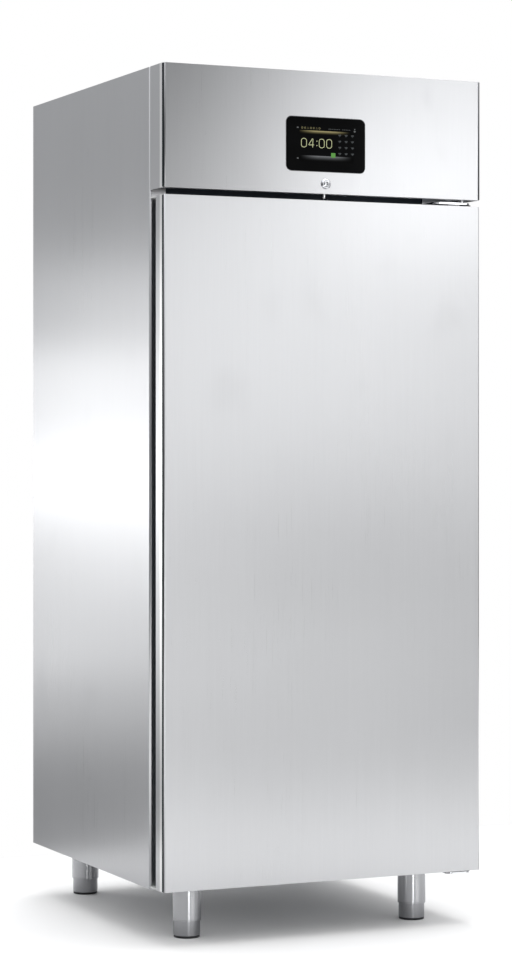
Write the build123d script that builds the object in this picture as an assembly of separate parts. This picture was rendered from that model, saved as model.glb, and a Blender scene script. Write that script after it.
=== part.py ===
from build123d import *
import math
import os

# A one-door retarder proofer cabinet, in millimetres.
# X runs to the right seen from the front, Y to the back, Z up. The floor is Z = 0 and the origin is
# the middle of the whole object's footprint. Depths below are measured back from the door's face.

# Overall sizes
WIDTH = 790.0
BODY_DEPTH = 853.0
FOOT_HEIGHT = 121.0
DOOR_LIFT = 4.0
DOOR_HEIGHT = 1534.5
DOOR_GAP = 15.0
DASH_HEIGHT = 274.5
LOCK_PROUD = 7.0
REAR_PROUD = 14.0
SHEET = 1.0
FIT = 0.05
SOFT_CLEAR = 0.3

# Cabinet walls and chamber
EDGE_R = 5.0
SIDE_FLANGE = 38.0
SIDE_WALL = 73.0
BACK_WALL = 67.0
FLOOR_WALL = 60.0
TOP_LAP = 55.0
CHAMBER_R = 15.0
RING_THICK = 15.0
RING_LAP = 37.0
HEADER_UP = 25.0

# Door
DOOR_THICK = 68.0
SEAL_GAP = 13.0
DOOR_EDGE_R = 4.0
LIP_DEPTH = 45.0
LIP_HEM = 12.0
GRIP_WIDTH = 28.0
GRIP_WALL = 2.0
CAP_THICK = 4.0
CAP_CLEAR = 1.5
FIELD_DEPTH = 6.0
FIELD_EDGE = 75.0
FIELD_R = 20.0
GASKET_INSET = 2.0
GASKET_WIDTH = 20.0
GASKET_END = 20.0

# Door hinges
HINGE_INSET = 22.0
HINGE_BACK = 30.0
HINGE_PIN_R = 5.0
BUSH_R = 9.0
BUSH_FLANGE_R = 13.0
BUSH_DEPTH = 25.0
BRACKET_THICK = 4.0
BRACKET_LIFT = 5.0
BRACKET_WIDTH = 94.0
BRACKET_EDGE = 15.0
BRACKET_NOSE = 14.0
BRACKET_LEG = 40.0
LOWER_BRACKET_WIDTH = 60.0
LOWER_BRACKET_LENGTH = 122.0
BRACKET_R = 12.0

# Screws, all M6
SCREW_R = 3.0
SCREW_LENGTH = 16.0
SCREW_HEAD_R = 5.0
SCREW_HEAD = 3.5
SCREW_CLEAR = 0.1

# Instrument panel
DASH_SEAM = 1.5
DASH_BOTTOM_RETURN = 20.0
DASH_TOP_RETURN = 64.0
GLASS_WIDTH = 195.0
GLASS_HEIGHT = 120.0
GLASS_THICK = 2.5
GLASS_R = 12.0
GLASS_RISE = 110.5
GLASS_LAP = 4.0
MODULE_DEPTH = 28.0
MODULE_WALL = 2.0
BOARD_THICK = 1.6
PIVOT_DROP = 4.0
PIVOT_PIN_R = 2.5
EAR_INSET = 16.0
EAR_THICK = 3.0
EAR_DEPTH = 40.0
EAR_DROP = 24.0

# Lock
LOCK_RISE = 22.5
LOCK_ROSETTE_R = 12.0
LOCK_ROSETTE = 5.0
LOCK_CORE_R = 7.0
LOCK_BODY_R = 10.0
LOCK_BODY = 28.0
LOCK_THROW = 7.0
CRANK_PIN_R = 1.5
CRANK_PLAY = 1.8
YOKE_THICK = 3.0
BOLT_R = 3.0
BOLT_BACK = 9.0
BOLT_TIP_CLEAR = 5.5
BOLT_GUIDE = 0.5
STRIKE_R = 5.5
STRIKE_THICK = 2.0
STRIKE_WIDTH = 40.0
STRIKE_DEPTH = 23.0
STRIKE_ROOM = 25.0

# Chamber fittings
PLENUM_DEPTH = 190.0
DUCT_SHEET = 1.2
DUCT_SIDE_GAP = 3.0
DUCT_END_GAP = 15.0
DUCT_SLOTS = 16
DUCT_SLOT_PITCH = 65.0
DUCT_SLOT_LENGTH = 130.0
DUCT_SLOT = 10.0
DUCT_TAB = 20.0
UPRIGHT_DEPTH = 12.0
UPRIGHT_WIDTH = 25.0
UPRIGHT_SHEET = 1.5
UPRIGHT_FRONT = 160.0
UPRIGHT_END = 26.0
RUNNER_LEVELS = 18
RUNNER_PITCH = 75.0
RUNNER_FIRST = 70.0
RUNNER_LEDGE = 19.0
RUNNER_LEG = 20.0
RUNNER_SHEET = 1.5
RUNNER_START = 120.0
RUNNER_END = 11.0
HOOK_WIDTH = 6.0
FAN_R = 90.0
FAN_SPREAD = 135.0
FAN_DROP = 135.0
FAN_HUB_R = 26.0
FAN_DEPTH = 30.0
FAN_TIP_GAP = 5.0
FAN_SHAFT_R = 4.0
FAN_MOTOR_R = 36.0
FAN_MOTOR = 52.0
BLADE_THICK = 2.0
BLADE_PITCH = 30.0
FAN_ARM_OUT = 5.0
FAN_ARM_R = 2.5
PROBE_DROP = 60.0
PROBE_R = 4.0
COIL_SIDE_GAP = 92.0
COIL_DEPTH = 90.0
COIL_HEIGHT = 280.0
COIL_UNDER_FANS = 8.5
COIL_GAP = 15.0
COIL_TUBES = 10
CONDENSER_TUBES = 8
TUBE_R = 5.0
BEND_REACH = 14.0
DRIP_WALL = 1.5
DRIP_HEIGHT = 25.0
DRIP_RIM = 10.0
DRAIN_R = 10.0
DRAIN_WALL = 1.5
DRAIN_REACH = 26.0
NECK = 1.5
NECK_CUT = 0.8
HEATER_R = 4.0
HEATER_GAP = 32.0
HEATER_RISE = 40.0
HEATER_HEIGHT = 130.0
HEATER_INSET = 40.0
LIGHT_WIDTH = 22.0
LIGHT_DEPTH = 10.0
LIGHT_END = 90.0
LIGHT_BACK = 6.0

# Machine bay
UNIT_WIDTH = 480.0
UNIT_SHEET = 2.0
UNIT_RAIL = 15.0
UNIT_FRONT = 130.0
UNIT_LENGTH = 520.0
UNIT_SIDE_GAP = 25.0
CONDENSER_WIDTH = 300.0
CONDENSER_DEPTH = 70.0
CONDENSER_HEIGHT = 222.0
CONDENSER_BACK = 20.0
SHROUD_DEPTH = 42.0
SHROUD_HOLE_R = 95.0
COND_FAN_R = 91.0
COMPRESSOR_R = 76.0
COMPRESSOR_HEIGHT = 185.0
COMPRESSOR_BACK = 350.0
COMPRESSOR_ASIDE = 20.0
COMPRESSOR_FOOT_X = 95.0
COMPRESSOR_FOOT_Y = 60.0
COMPRESSOR_PORT_Z = 70.0
COMPRESSOR_PORT_Y = 25.0
COMPRESSOR_PORT = 12.0
MOUNT_R = 12.0
MOUNT_HEIGHT = 14.0
COVER_DEPTH = 42.0
COVER_SIZE = 64.0
DISCHARGE_R = 4.0
LIQUID_R = 3.0
FEED_R = 2.5
SUCTION_R = 6.0
PIPE_GAP = 8.0
PIPE_OUT = 30.0
PIPE_FAR = 50.0
DRIER_R = 11.0
DRIER_LENGTH = 100.0
DRIER_BACK = 90.0
BOX_FRONT = 200.0
BOX_WIDTH = 170.0
BOX_LENGTH = 320.0
BOX_HEIGHT = 150.0
BOX_SIDE_GAP = 6.0
INLET_R = 13.2
SERVICE_INSET = 95.0
SERVICE_RISE = 90.0
SERVICE_DEPTH = 40.0
LOUVRE_ROWS = 11
LOUVRE_PITCH = 18.0
LOUVRE_LENGTH = 120.0
LOUVRE_HEIGHT = 6.0
LOUVRE_SPREAD = 145.0
LOUVRE_RISE = 45.0
CABLE_R = 5.0
PASS_R = 20.0
PASS_OUT = 40.0
STEAM_R = 5.0
STEAM_INSET = 60.0
STEAM_GAP = 14.0
STEAM_OVER = 30.0

# Feet
FOOT_INSET = 109.6
FOOT_FRONT = 130.0
FOOT_REAR_INSET = 76.0
SLEEVE_R = 32.5
SLEEVE_WALL = 2.0
SLEEVE_END = 38.0
CUP_R = 30.0
CUP_WALL = 2.0
CUP_TOP = 80.0
PAD_THICK = 5.0
PAD_R = 29.5
STEM_R = 8.0
STEM_TOP = 115.0
BOSS_R = 14.0
BOSS_DEPTH = 48.0
SLEEVE_TOP = 3.0
FOOT_SCREW_R = 20.5

# Planes and heights that several pieces share
HALF = WIDTH / 2
FRONT = -(BODY_DEPTH + REAR_PROUD - LOCK_PROUD) / 2
BACK = FRONT + BODY_DEPTH
BODY_BOTTOM = FOOT_HEIGHT
DOOR_BOTTOM = BODY_BOTTOM + DOOR_LIFT
DOOR_TOP = DOOR_BOTTOM + DOOR_HEIGHT
DECK_Z = DOOR_TOP + DOOR_GAP
BODY_TOP = DECK_Z + DASH_HEIGHT
DOOR_BACK = FRONT + DOOR_THICK
FRAME_Y = DOOR_BACK + SEAL_GAP
RING_BACK = FRAME_Y + RING_THICK
RING_X = HALF - SIDE_FLANGE
CHAMBER_X = HALF - SIDE_WALL
CHAMBER_BACK = BACK - BACK_WALL
CHAMBER_FLOOR = BODY_BOTTOM + FLOOR_WALL
CHAMBER_TOP = DOOR_TOP - TOP_LAP
RING_BOTTOM = CHAMBER_FLOOR - RING_LAP
HEADER_TOP = DECK_Z + HEADER_UP
GRIP_X = -HALF + GRIP_WIDTH
LIP_BACK = FRONT + LIP_DEPTH
HINGE_X = HALF - HINGE_INSET
HINGE_Y = FRONT + HINGE_BACK
LOCK_Z = DECK_Z + LOCK_RISE
BOLT_Y = FRONT + BOLT_BACK
DUCT_Y = CHAMBER_BACK - PLENUM_DEPTH
FAN_Z = CHAMBER_TOP - FAN_DROP
DASH_BACK = FRAME_Y - DASH_SEAM
PIVOT_Y = DASH_BACK - PIVOT_DROP
PIVOT_Z = BODY_TOP - PIVOT_DROP
BAY_FLOOR = DECK_Z + SHEET
UNIT_TOP = BAY_FLOOR + UNIT_RAIL + UNIT_SHEET
UNIT_Y = FRONT + UNIT_FRONT
CONDENSER_Y = UNIT_Y + CONDENSER_BACK
SHROUD_Y = CONDENSER_Y + CONDENSER_DEPTH
COIL_X = CHAMBER_X - COIL_SIDE_GAP
COIL_TOP = FAN_Z - FAN_R - FAN_TIP_GAP - FAN_ARM_OUT - COIL_UNDER_FANS
COIL_Z = COIL_TOP - COIL_HEIGHT
COIL_Y = CHAMBER_BACK - COIL_DEPTH - COIL_GAP
SERVICE_Z = DECK_Z + SERVICE_RISE
UNIT_X = UNIT_SIDE_GAP + UNIT_WIDTH / 2 - HALF
COMPRESSOR_X = UNIT_X + COMPRESSOR_ASIDE
COMPRESSOR_Y = UNIT_Y + COMPRESSOR_BACK
COMPRESSOR_Z = UNIT_TOP + MOUNT_HEIGHT
PASS_X = -COIL_X - PASS_OUT
PASS_Y = COIL_Y + COIL_DEPTH / 2
STEAM_X = STEAM_INSET - COIL_X
INLET_X = SERVICE_INSET - HALF
GLAND_X = HALF - SERVICE_INSET
UPRIGHT_REAR = DUCT_Y - UPRIGHT_END - UPRIGHT_WIDTH - FRONT
FOOT_REAR = BODY_DEPTH - FOOT_REAR_INSET
GASKET_X = RING_X - GASKET_INSET
FOOT_SPOTS = {
    "front_left": (FOOT_INSET - HALF, FRONT + FOOT_FRONT),
    "front_right": (HALF - FOOT_INSET, FRONT + FOOT_FRONT),
    "rear_left": (FOOT_INSET - HALF, FRONT + FOOT_REAR),
    "rear_right": (HALF - FOOT_INSET, FRONT + FOOT_REAR),
}


# Small helpers
def block(x0, x1, y0, y1, z0, z1):
    """A box between two limits on each axis."""
    return Pos((x0 + x1) / 2, (y0 + y1) / 2, (z0 + z1) / 2) * Box(x1 - x0, y1 - y0, z1 - z0)


def rod_x(x0, x1, y, z, r):
    """A round bar along X."""
    return Pos((x0 + x1) / 2, y, z) * Rot(0, 90, 0) * Cylinder(r, x1 - x0)


def rod_y(x, y0, y1, z, r):
    """A round bar along Y."""
    return Pos(x, (y0 + y1) / 2, z) * Rot(90, 0, 0) * Cylinder(r, y1 - y0)


def rod_z(x, y, z0, z1, r):
    """A round bar along Z."""
    return Pos(x, y, (z0 + z1) / 2) * Cylinder(r, z1 - z0)


def upright_edges(part, x, y):
    """The part's vertical edges at one place in plan."""
    edges = part.edges().filter_by(Axis.Z)
    return [e for e in edges if abs(e.center().X - x) < 0.01 and abs(e.center().Y - y) < 0.01]


def rounded_block(x0, x1, y0, y1, z0, z1, r, corners):
    """A box with some of its vertical edges rounded; corners lists their (x, y)."""
    solid = block(x0, x1, y0, y1, z0, z1)
    picked = [e for x, y in corners for e in upright_edges(solid, x, y)]
    return fillet(picked, r)


def pipe(points, radii, r):
    """A round tube, taken as solid, along straight runs joined by tangent arcs."""
    path = FilletPolyline(*points, radius=radii)
    return sweep(Plane(path @ 0, z_dir=path % 0) * Circle(r), path=path)


def both_sides(part):
    """A piece on the right and its mirror image on the left."""
    return [part, mirror(part, Plane.YZ)]


def save(name, *pieces):
    """Write one node from one piece or from a group of separate ones."""
    solids = [s for piece in pieces for s in piece.solids()]
    export_step(Compound(solids), f"parts/{name}.step")


# Places of the screws: three in the upper hinge bracket, three in the lower, three in each foot
def upper_bracket_x():
    """The upper hinge bracket's limits in X."""
    return HALF - BRACKET_EDGE - BRACKET_WIDTH, HALF - BRACKET_EDGE


def lower_bracket_x():
    """The lower hinge bracket's limits in X."""
    return HALF - BRACKET_EDGE - LOWER_BRACKET_WIDTH, HALF - BRACKET_EDGE


def header_screws():
    """X and Z of the screws through the upper bracket's leg."""
    left, _ = upper_bracket_x()
    z = DOOR_TOP + BRACKET_LIFT + BRACKET_LEG - 12.0
    return [(left + 12.0 + i * 19.0, z) for i in range(3)]


def sill_screws():
    """X and Y of the screws up through the lower bracket."""
    left, right = lower_bracket_x()
    rear = FRONT + BRACKET_NOSE + LOWER_BRACKET_LENGTH - 12.0
    return [(left + 14.0, rear), (right - 14.0, rear), ((left + right) / 2, rear - 22.0)]


def foot_screws():
    """X and Y of the screws through the feet's top discs."""
    spots = []
    for x, y in FOOT_SPOTS.values():
        for i in range(3):
            a = math.radians(90 + 120 * i)
            spots.append((x + FOOT_SCREW_R * math.cos(a), y + FOOT_SCREW_R * math.sin(a)))
    return spots


def screw_holes(radius):
    """Cutters for every screw's shank."""
    holes = [rod_y(x, FRAME_Y - BRACKET_THICK - 1, FRAME_Y + SCREW_LENGTH, z, radius)
             for x, z in header_screws()]
    holes += [rod_z(x, y, BODY_BOTTOM - BRACKET_THICK - 1, BODY_BOTTOM + SCREW_LENGTH, radius)
              for x, y in sill_screws() + foot_screws()]
    return holes


def drain_hole(radius):
    """The drain tube's way through the floor."""
    return rod_z(0, drain_y(), BODY_BOTTOM - 1, CHAMBER_FLOOR + 1, radius)


def drain_y():
    """The drain tube's place behind the duct panel."""
    return CHAMBER_BACK - 40.0


def roof_holes():
    """Cutters for the pipes' ways through the roof."""
    z0 = CHAMBER_TOP - SHEET - 1
    z1 = DECK_Z + SHEET + 1
    return [rod_z(PASS_X, PASS_Y, z0, z1, PASS_R), rod_z(STEAM_X, PASS_Y, z0, z1, STEAM_R + FIT)]


# Cabinet shell
def side_panel():
    """The right side sheet, folded in at the front, back and top, with a rounded front edge."""
    outer = rounded_block(RING_X, HALF, FRAME_Y, BACK, BODY_BOTTOM, BODY_TOP, EDGE_R, [(HALF, FRAME_Y)])
    inner = rounded_block(RING_X - 1, HALF - SHEET, FRAME_Y + SHEET, BACK - SHEET, BODY_BOTTOM - 1,
                          BODY_TOP - SHEET, EDGE_R - SHEET, [(HALF - SHEET, FRAME_Y + SHEET)])
    return outer - inner


def back_panel():
    """The sheet between the side panels' rear folds, up to the roof deck."""
    return block(-RING_X, RING_X, BACK - SHEET, BACK, BODY_BOTTOM, BAY_FLOOR)


def base_panel():
    """The bottom sheet with its front upstand."""
    x = HALF - SHEET
    plate = block(-x, x, FRAME_Y + SHEET, BACK - SHEET, BODY_BOTTOM, BODY_BOTTOM + SHEET)
    corners = block(RING_X, HALF, FRAME_Y, FRAME_Y + EDGE_R, BODY_BOTTOM - 1, BODY_BOTTOM + SHEET + 1)
    upstand = block(-RING_X, RING_X, FRAME_Y, FRAME_Y + SHEET, BODY_BOTTOM, RING_BOTTOM)
    sheet = plate - both_sides(corners) + upstand
    return sheet - screw_holes(SCREW_R + SCREW_CLEAR) - drain_hole(DRAIN_R + FIT)


def roof_deck():
    """The insulated box's top sheet, the machine bay's floor, with a front upstand."""
    plate = block(SHEET - HALF, HALF - SHEET, FRAME_Y + EDGE_R, BACK - SHEET, DECK_Z, BAY_FLOOR)
    front = block(-RING_X, RING_X, FRAME_Y, RING_BACK, DECK_Z - 1, BAY_FLOOR + 1)
    upstand = block(-RING_X, RING_X, RING_BACK, RING_BACK + SHEET, DECK_Z, HEADER_TOP)
    return plate - front + upstand - roof_holes() - screw_holes(SCREW_R + SCREW_CLEAR)


def chamber(grow, front):
    """The chamber's inside, grown outwards, from a front plane to the rear wall."""
    x = CHAMBER_X + grow
    y = CHAMBER_BACK + grow
    r = CHAMBER_R + grow
    solid = block(-x, x, front, y, CHAMBER_FLOOR - grow, CHAMBER_TOP + grow)
    coves = upright_edges(solid, -x, y) + upright_edges(solid, x, y)
    coves += [e for e in solid.edges().filter_by(Axis.Y) if e.center().Z < CHAMBER_TOP]
    return fillet(coves, r)


def chamber_liner():
    """The stainless inner box with coved floor and rear corners."""
    shell = chamber(SHEET, RING_BACK) - chamber(0, RING_BACK - 1)
    return shell - roof_holes() - drain_hole(DRAIN_R + FIT)


def cabinet_insulation():
    """The foam boards between the outer sheets and the liner: floor, roof, back and two sides."""
    x = HALF - SHEET
    y = FRAME_Y + SHEET
    z0 = CHAMBER_FLOOR - SHEET
    z1 = CHAMBER_TOP + SHEET
    wall = CHAMBER_X + SHEET
    back = CHAMBER_BACK + SHEET
    foam = rounded_block(-x, x, y, BACK - SHEET, BODY_BOTTOM + SHEET, DECK_Z, EDGE_R - SHEET,
                         [(-x, y), (x, y)])
    foam -= block(-RING_X, RING_X, FRAME_Y, RING_BACK, RING_BOTTOM, DECK_Z + 1)
    foam -= screw_holes(SCREW_R + SCREW_CLEAR)
    floor = foam & block(-x, x, FRAME_Y, BACK, BODY_BOTTOM, z0)
    roof = foam & block(-x, x, FRAME_Y, BACK, z1, DECK_Z)
    rear = block(-wall, wall, back, BACK - SHEET, z0, z1)
    side = foam & block(wall, x, FRAME_Y, BACK, z0, z1)
    return [floor - drain_hole(DRAIN_R + FIT), roof - roof_holes(), rear, side, mirror(side, Plane.YZ)]


def opening_frame():
    """The dark frame round the chamber's mouth, which the gasket shuts on."""
    frame = block(-RING_X, RING_X, FRAME_Y, RING_BACK, RING_BOTTOM, HEADER_TOP)
    mouth = block(-CHAMBER_X, CHAMBER_X, FRAME_Y - 1, RING_BACK + 1, CHAMBER_FLOOR, CHAMBER_TOP)
    return frame - mouth - screw_holes(SCREW_R + SCREW_CLEAR)


def rear_grille():
    """The machine bay's rear sheet with rows of air slots and the two service holes."""
    sheet = block(-RING_X, RING_X, BACK - SHEET, BACK, BAY_FLOOR, BODY_TOP)
    rim = block(-RING_X, RING_X, BACK - 20.0, BACK - SHEET, BODY_TOP - SHEET, BODY_TOP)
    half = LOUVRE_LENGTH / 2
    slots = [block(x - half, x + half, BACK - 2, BACK + 1, z - LOUVRE_HEIGHT / 2, z + LOUVRE_HEIGHT / 2)
             for x in (-LOUVRE_SPREAD, 0.0, LOUVRE_SPREAD)
             for z in [BAY_FLOOR + LOUVRE_RISE + LOUVRE_PITCH * i for i in range(LOUVRE_ROWS)]]
    services = [rod_y(INLET_X, BACK - 2, BACK + 1, SERVICE_Z, INLET_R + FIT),
                rod_y(GLAND_X, BACK - 2, BACK + 1, SERVICE_Z, CABLE_R + 3.0 + FIT)]
    return sheet + rim - slots - services


# Instrument panel
def glass_outline(lap, y0, y1, r):
    """A rounded rectangle on the display's centre, smaller than the glass by lap all round."""
    x = GLASS_WIDTH / 2 - lap
    z = DECK_Z + GLASS_RISE
    h = GLASS_HEIGHT / 2 - lap
    solid = block(-x, x, y0, y1, z - h, z + h)
    return fillet(solid.edges().filter_by(Axis.Y), r)


def pivot_hole(radius):
    """Cutters on the instrument panel's two pivots."""
    return both_sides(rod_x(HALF - EAR_INSET - 2 * EAR_THICK, HALF - SHEET, PIVOT_Y, PIVOT_Z, radius))


def dashboard_panel():
    """The folded instrument panel with its cut-outs and two hanging ears."""
    outer = rounded_block(-HALF, HALF, FRONT, DASH_BACK, DECK_Z, BODY_TOP, EDGE_R,
                          [(-HALF, FRONT), (HALF, FRONT)])
    x = HALF - SHEET
    y = FRONT + SHEET
    inner = rounded_block(-x, x, y, DASH_BACK + 1, DECK_Z + SHEET, BODY_TOP - SHEET, EDGE_R - SHEET,
                          [(-x, y), (x, y)])
    shell = outer - inner
    shell -= block(-x, x, FRONT + DASH_BOTTOM_RETURN, DASH_BACK + 1, DECK_Z - 1, DECK_Z + 2 * SHEET)
    shell -= block(-x, x, FRONT + DASH_TOP_RETURN, DASH_BACK + 1, BODY_TOP - 2 * SHEET, BODY_TOP + 1)
    ear = block(HALF - EAR_INSET - EAR_THICK, HALF - EAR_INSET, FRONT + EAR_DEPTH, DASH_BACK,
                BODY_TOP - EAR_DROP, BODY_TOP)
    shell = shell + both_sides(ear)
    corner = block(-HALF - 1, HALF + 1, PIVOT_Y, DASH_BACK + 1, PIVOT_Z, BODY_TOP + 1)
    corner -= rod_x(-HALF - 2, HALF + 2, PIVOT_Y, PIVOT_Z, PIVOT_DROP)
    slot = block(-BOLT_R - BOLT_GUIDE, BOLT_R + BOLT_GUIDE, BOLT_Y - BOLT_R - BOLT_GUIDE,
                 BOLT_Y + DASH_BOTTOM_RETURN, DECK_Z - 1, DECK_Z + SHEET + 1)
    cuts = [corner, slot, glass_outline(GLASS_LAP, FRONT - 1, FRONT + 2, GLASS_R - GLASS_LAP),
            rod_y(0, FRONT - 1, FRONT + 2, LOCK_Z, LOCK_BODY_R + FIT)]
    return shell - cuts - pivot_hole(PIVOT_PIN_R + FIT)


def display_glass():
    """The black glass on the panel's face."""
    return glass_outline(0, FRONT - GLASS_THICK, FRONT, GLASS_R)


def display_module():
    """The display's case behind the glass, and the board inside it."""
    lap = GLASS_LAP + FIT
    case = glass_outline(lap, FRONT, FRONT + MODULE_DEPTH, GLASS_R - GLASS_LAP)
    rim = glass_outline(0, FRONT + SHEET, FRONT + SHEET + MODULE_WALL, GLASS_R)
    hollow = glass_outline(lap + MODULE_WALL, FRONT - 1, FRONT + MODULE_DEPTH - MODULE_WALL,
                           GLASS_R - GLASS_LAP - MODULE_WALL)
    step = glass_outline(lap + MODULE_WALL, FRONT + MODULE_DEPTH - MODULE_WALL - BOARD_THICK,
                         FRONT + MODULE_DEPTH - MODULE_WALL, GLASS_R - GLASS_LAP - MODULE_WALL)
    return [case + rim - hollow, step]


def dashboard_hinge():
    """The right pivot bracket, fixed to the side panel's front fold, with its pin."""
    ear_right = HALF - EAR_INSET
    left = ear_right + 2
    bottom = PIVOT_Z - 30
    arm = block(left, left + EAR_THICK, PIVOT_Y - 5, FRAME_Y, bottom, PIVOT_Z + 3)
    foot = block(left, HALF - SHEET - 2, FRAME_Y - 2, FRAME_Y, bottom, PIVOT_Z - PIVOT_DROP)
    pin = rod_x(ear_right - EAR_THICK - 1, left, PIVOT_Y, PIVOT_Z, PIVOT_PIN_R)
    return arm + foot + pin


# Lock
def lock_housing():
    """The fixed rosette and threaded body that the lock's core turns in."""
    rosette = rod_y(0, FRONT - LOCK_ROSETTE, FRONT, LOCK_Z, LOCK_ROSETTE_R)
    rim = [e for e in rosette.edges().filter_by(GeomType.CIRCLE) if e.center().Y < FRONT - 1]
    rosette = fillet(rim, LOCK_ROSETTE - 1)
    body = rod_y(0, FRONT, FRONT + LOCK_BODY, LOCK_Z, LOCK_BODY_R)
    bore = rod_y(0, FRONT - LOCK_PROUD - 1, FRONT + LOCK_BODY + 1, LOCK_Z, LOCK_CORE_R + FIT)
    nut = rod_y(0, FRONT + SHEET, FRONT + SHEET + 4, LOCK_Z, LOCK_BODY_R + 1.5)
    return rosette + body + nut - bore


def lock_cylinder():
    """The turning core: a domed face with a key slot, a rear disc and an eccentric pin."""
    rear = FRONT + LOCK_BODY
    core = rod_y(0, FRONT - LOCK_PROUD, rear + 1, LOCK_Z, LOCK_CORE_R)
    rim = [e for e in core.edges().filter_by(GeomType.CIRCLE) if e.center().Y < FRONT]
    core = fillet(rim, 2.0)
    slot = block(-0.8, 0.8, FRONT - LOCK_PROUD - 1, FRONT - LOCK_PROUD + 5, LOCK_Z - 4, LOCK_Z + 4)
    disc = rod_y(0, rear + 1, rear + 4, LOCK_Z, LOCK_THROW + 2.5)
    pin = rod_y(0, rear + 4, rear + 5 + YOKE_THICK + 1, LOCK_Z + LOCK_THROW, CRANK_PIN_R)
    return core + disc + pin - slot


def lock_bolt():
    """The sliding bolt: a slotted yoke on the eccentric pin, an arm and the round bolt."""
    yoke_y = FRONT + LOCK_BODY + 5
    slot_z = LOCK_Z + LOCK_THROW
    reach = LOCK_THROW + CRANK_PIN_R + 0.5
    half = CRANK_PIN_R + CRANK_PLAY
    arm_top = LOCK_Z - LOCK_BODY_R - 2.5
    arm_bottom = arm_top - 5
    yoke = block(-5, reach + 3, yoke_y, yoke_y + YOKE_THICK, arm_bottom, slot_z + half + 3)
    slot = block(-CRANK_PIN_R - 0.5, reach, yoke_y - 1, yoke_y + YOKE_THICK + 1,
                 slot_z - half, slot_z + half)
    arm = block(-BOLT_R, BOLT_R, BOLT_Y, yoke_y + YOKE_THICK, arm_bottom, arm_top)
    bolt = rod_z(0, BOLT_Y, DOOR_TOP + BOLT_TIP_CLEAR, arm_top, BOLT_R)
    return yoke + arm + bolt - slot


# Door
def door_skin():
    """The door's outer sheet with returns, cut away behind the lip for the grip."""
    outer = rounded_block(-HALF, HALF, FRONT, DOOR_BACK - SHEET, DOOR_BOTTOM, DOOR_TOP, DOOR_EDGE_R,
                          [(-HALF, FRONT), (HALF, FRONT)])
    x = HALF - SHEET
    y = FRONT + SHEET
    inner = rounded_block(-x, x, y, DOOR_BACK, DOOR_BOTTOM + SHEET, DOOR_TOP - SHEET, DOOR_EDGE_R - SHEET,
                          [(-x, y), (x, y)])
    behind_lip = block(-HALF - 1, GRIP_X, LIP_BACK, DOOR_BACK, DOOR_BOTTOM - 1, DOOR_TOP + 1)
    hem = block(-HALF, LIP_HEM - HALF, LIP_BACK - SHEET, LIP_BACK, DOOR_BOTTOM, DOOR_TOP)
    holes = [rod_z(0, BOLT_Y, DOOR_TOP - 2, DOOR_TOP + 1, STRIKE_R),
             rod_z(HINGE_X, HINGE_Y, DOOR_BOTTOM - 1, DOOR_TOP + 1, BUSH_R + FIT)]
    return outer - inner - behind_lip + hem - holes


def field(grow, y0, y1):
    """The raised middle of the door's inner face."""
    x = CHAMBER_X - GASKET_WIDTH + grow
    z0 = DOOR_BOTTOM + FIELD_EDGE - grow
    z1 = DOOR_TOP - FIELD_EDGE + grow
    solid = block(-x, x, y0, y1, z0, z1)
    return fillet(solid.edges().filter_by(Axis.Y), FIELD_R + grow)


def door_liner():
    """The door's inner sheet, with its raised middle."""
    sheet = block(GRIP_X, HALF, DOOR_BACK - SHEET, DOOR_BACK, DOOR_BOTTOM, DOOR_TOP)
    raised = field(0, DOOR_BACK - SHEET, DOOR_BACK + FIELD_DEPTH)
    hollow = field(-SHEET, DOOR_BACK - 2 * SHEET, DOOR_BACK + FIELD_DEPTH - SHEET)
    return sheet + raised - hollow


def door_foam():
    """The foam boards in the door, with room for the bolt behind the strike plate."""
    x = HALF - SHEET
    y = FRONT + SHEET
    back = DOOR_BACK - SHEET
    z0 = DOOR_BOTTOM + SHEET
    z1 = DOOR_TOP - SHEET
    room_z = DOOR_TOP - STRIKE_ROOM
    half = STRIKE_WIDTH / 2
    foam = rounded_block(-x, x, y, back, z0, z1, DOOR_EDGE_R - SHEET, [(-x, y), (x, y)])
    foam -= block(-HALF, LIP_HEM - HALF, LIP_BACK - SHEET, LIP_BACK, DOOR_BOTTOM, DOOR_TOP)
    foam -= [rod_z(HINGE_X, HINGE_Y, DOOR_BOTTOM, DOOR_BOTTOM + BUSH_DEPTH, BUSH_R + FIT),
             rod_z(HINGE_X, HINGE_Y, DOOR_TOP - BUSH_DEPTH, DOOR_TOP, BUSH_R + FIT)]
    lip = foam & block(-x, GRIP_X, y, LIP_BACK, z0, z1)
    core = foam & block(GRIP_X, x, y, back, z0, room_z)
    left = foam & block(GRIP_X, -half, y, back, room_z, z1)
    right = foam & block(half, x, y, back, room_z, z1)
    behind = block(-half, half, y + STRIKE_DEPTH, back, room_z, z1)
    middle = field(-SHEET, back, DOOR_BACK + FIELD_DEPTH - SHEET)
    return [lip, core, left, right, behind, middle]


def grip_profile():
    """The two full-height strips that close the door's side behind the lip."""
    x0 = -HALF + SHEET
    z0 = DOOR_BOTTOM + CAP_THICK
    z1 = DOOR_TOP - CAP_THICK
    inner_y = LIP_BACK + GRIP_WALL
    return [block(x0, GRIP_X, LIP_BACK, inner_y, z0, z1),
            block(GRIP_X - GRIP_WALL, GRIP_X, inner_y, DOOR_BACK, z0, z1)]


def door_end_caps():
    """The two caps that close the grip recess at its ends."""
    rear = FRAME_Y - CAP_CLEAR
    return [block(-HALF, GRIP_X, LIP_BACK, rear, z, z + CAP_THICK)
            for z in (DOOR_BOTTOM, DOOR_TOP - CAP_THICK)]


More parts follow.
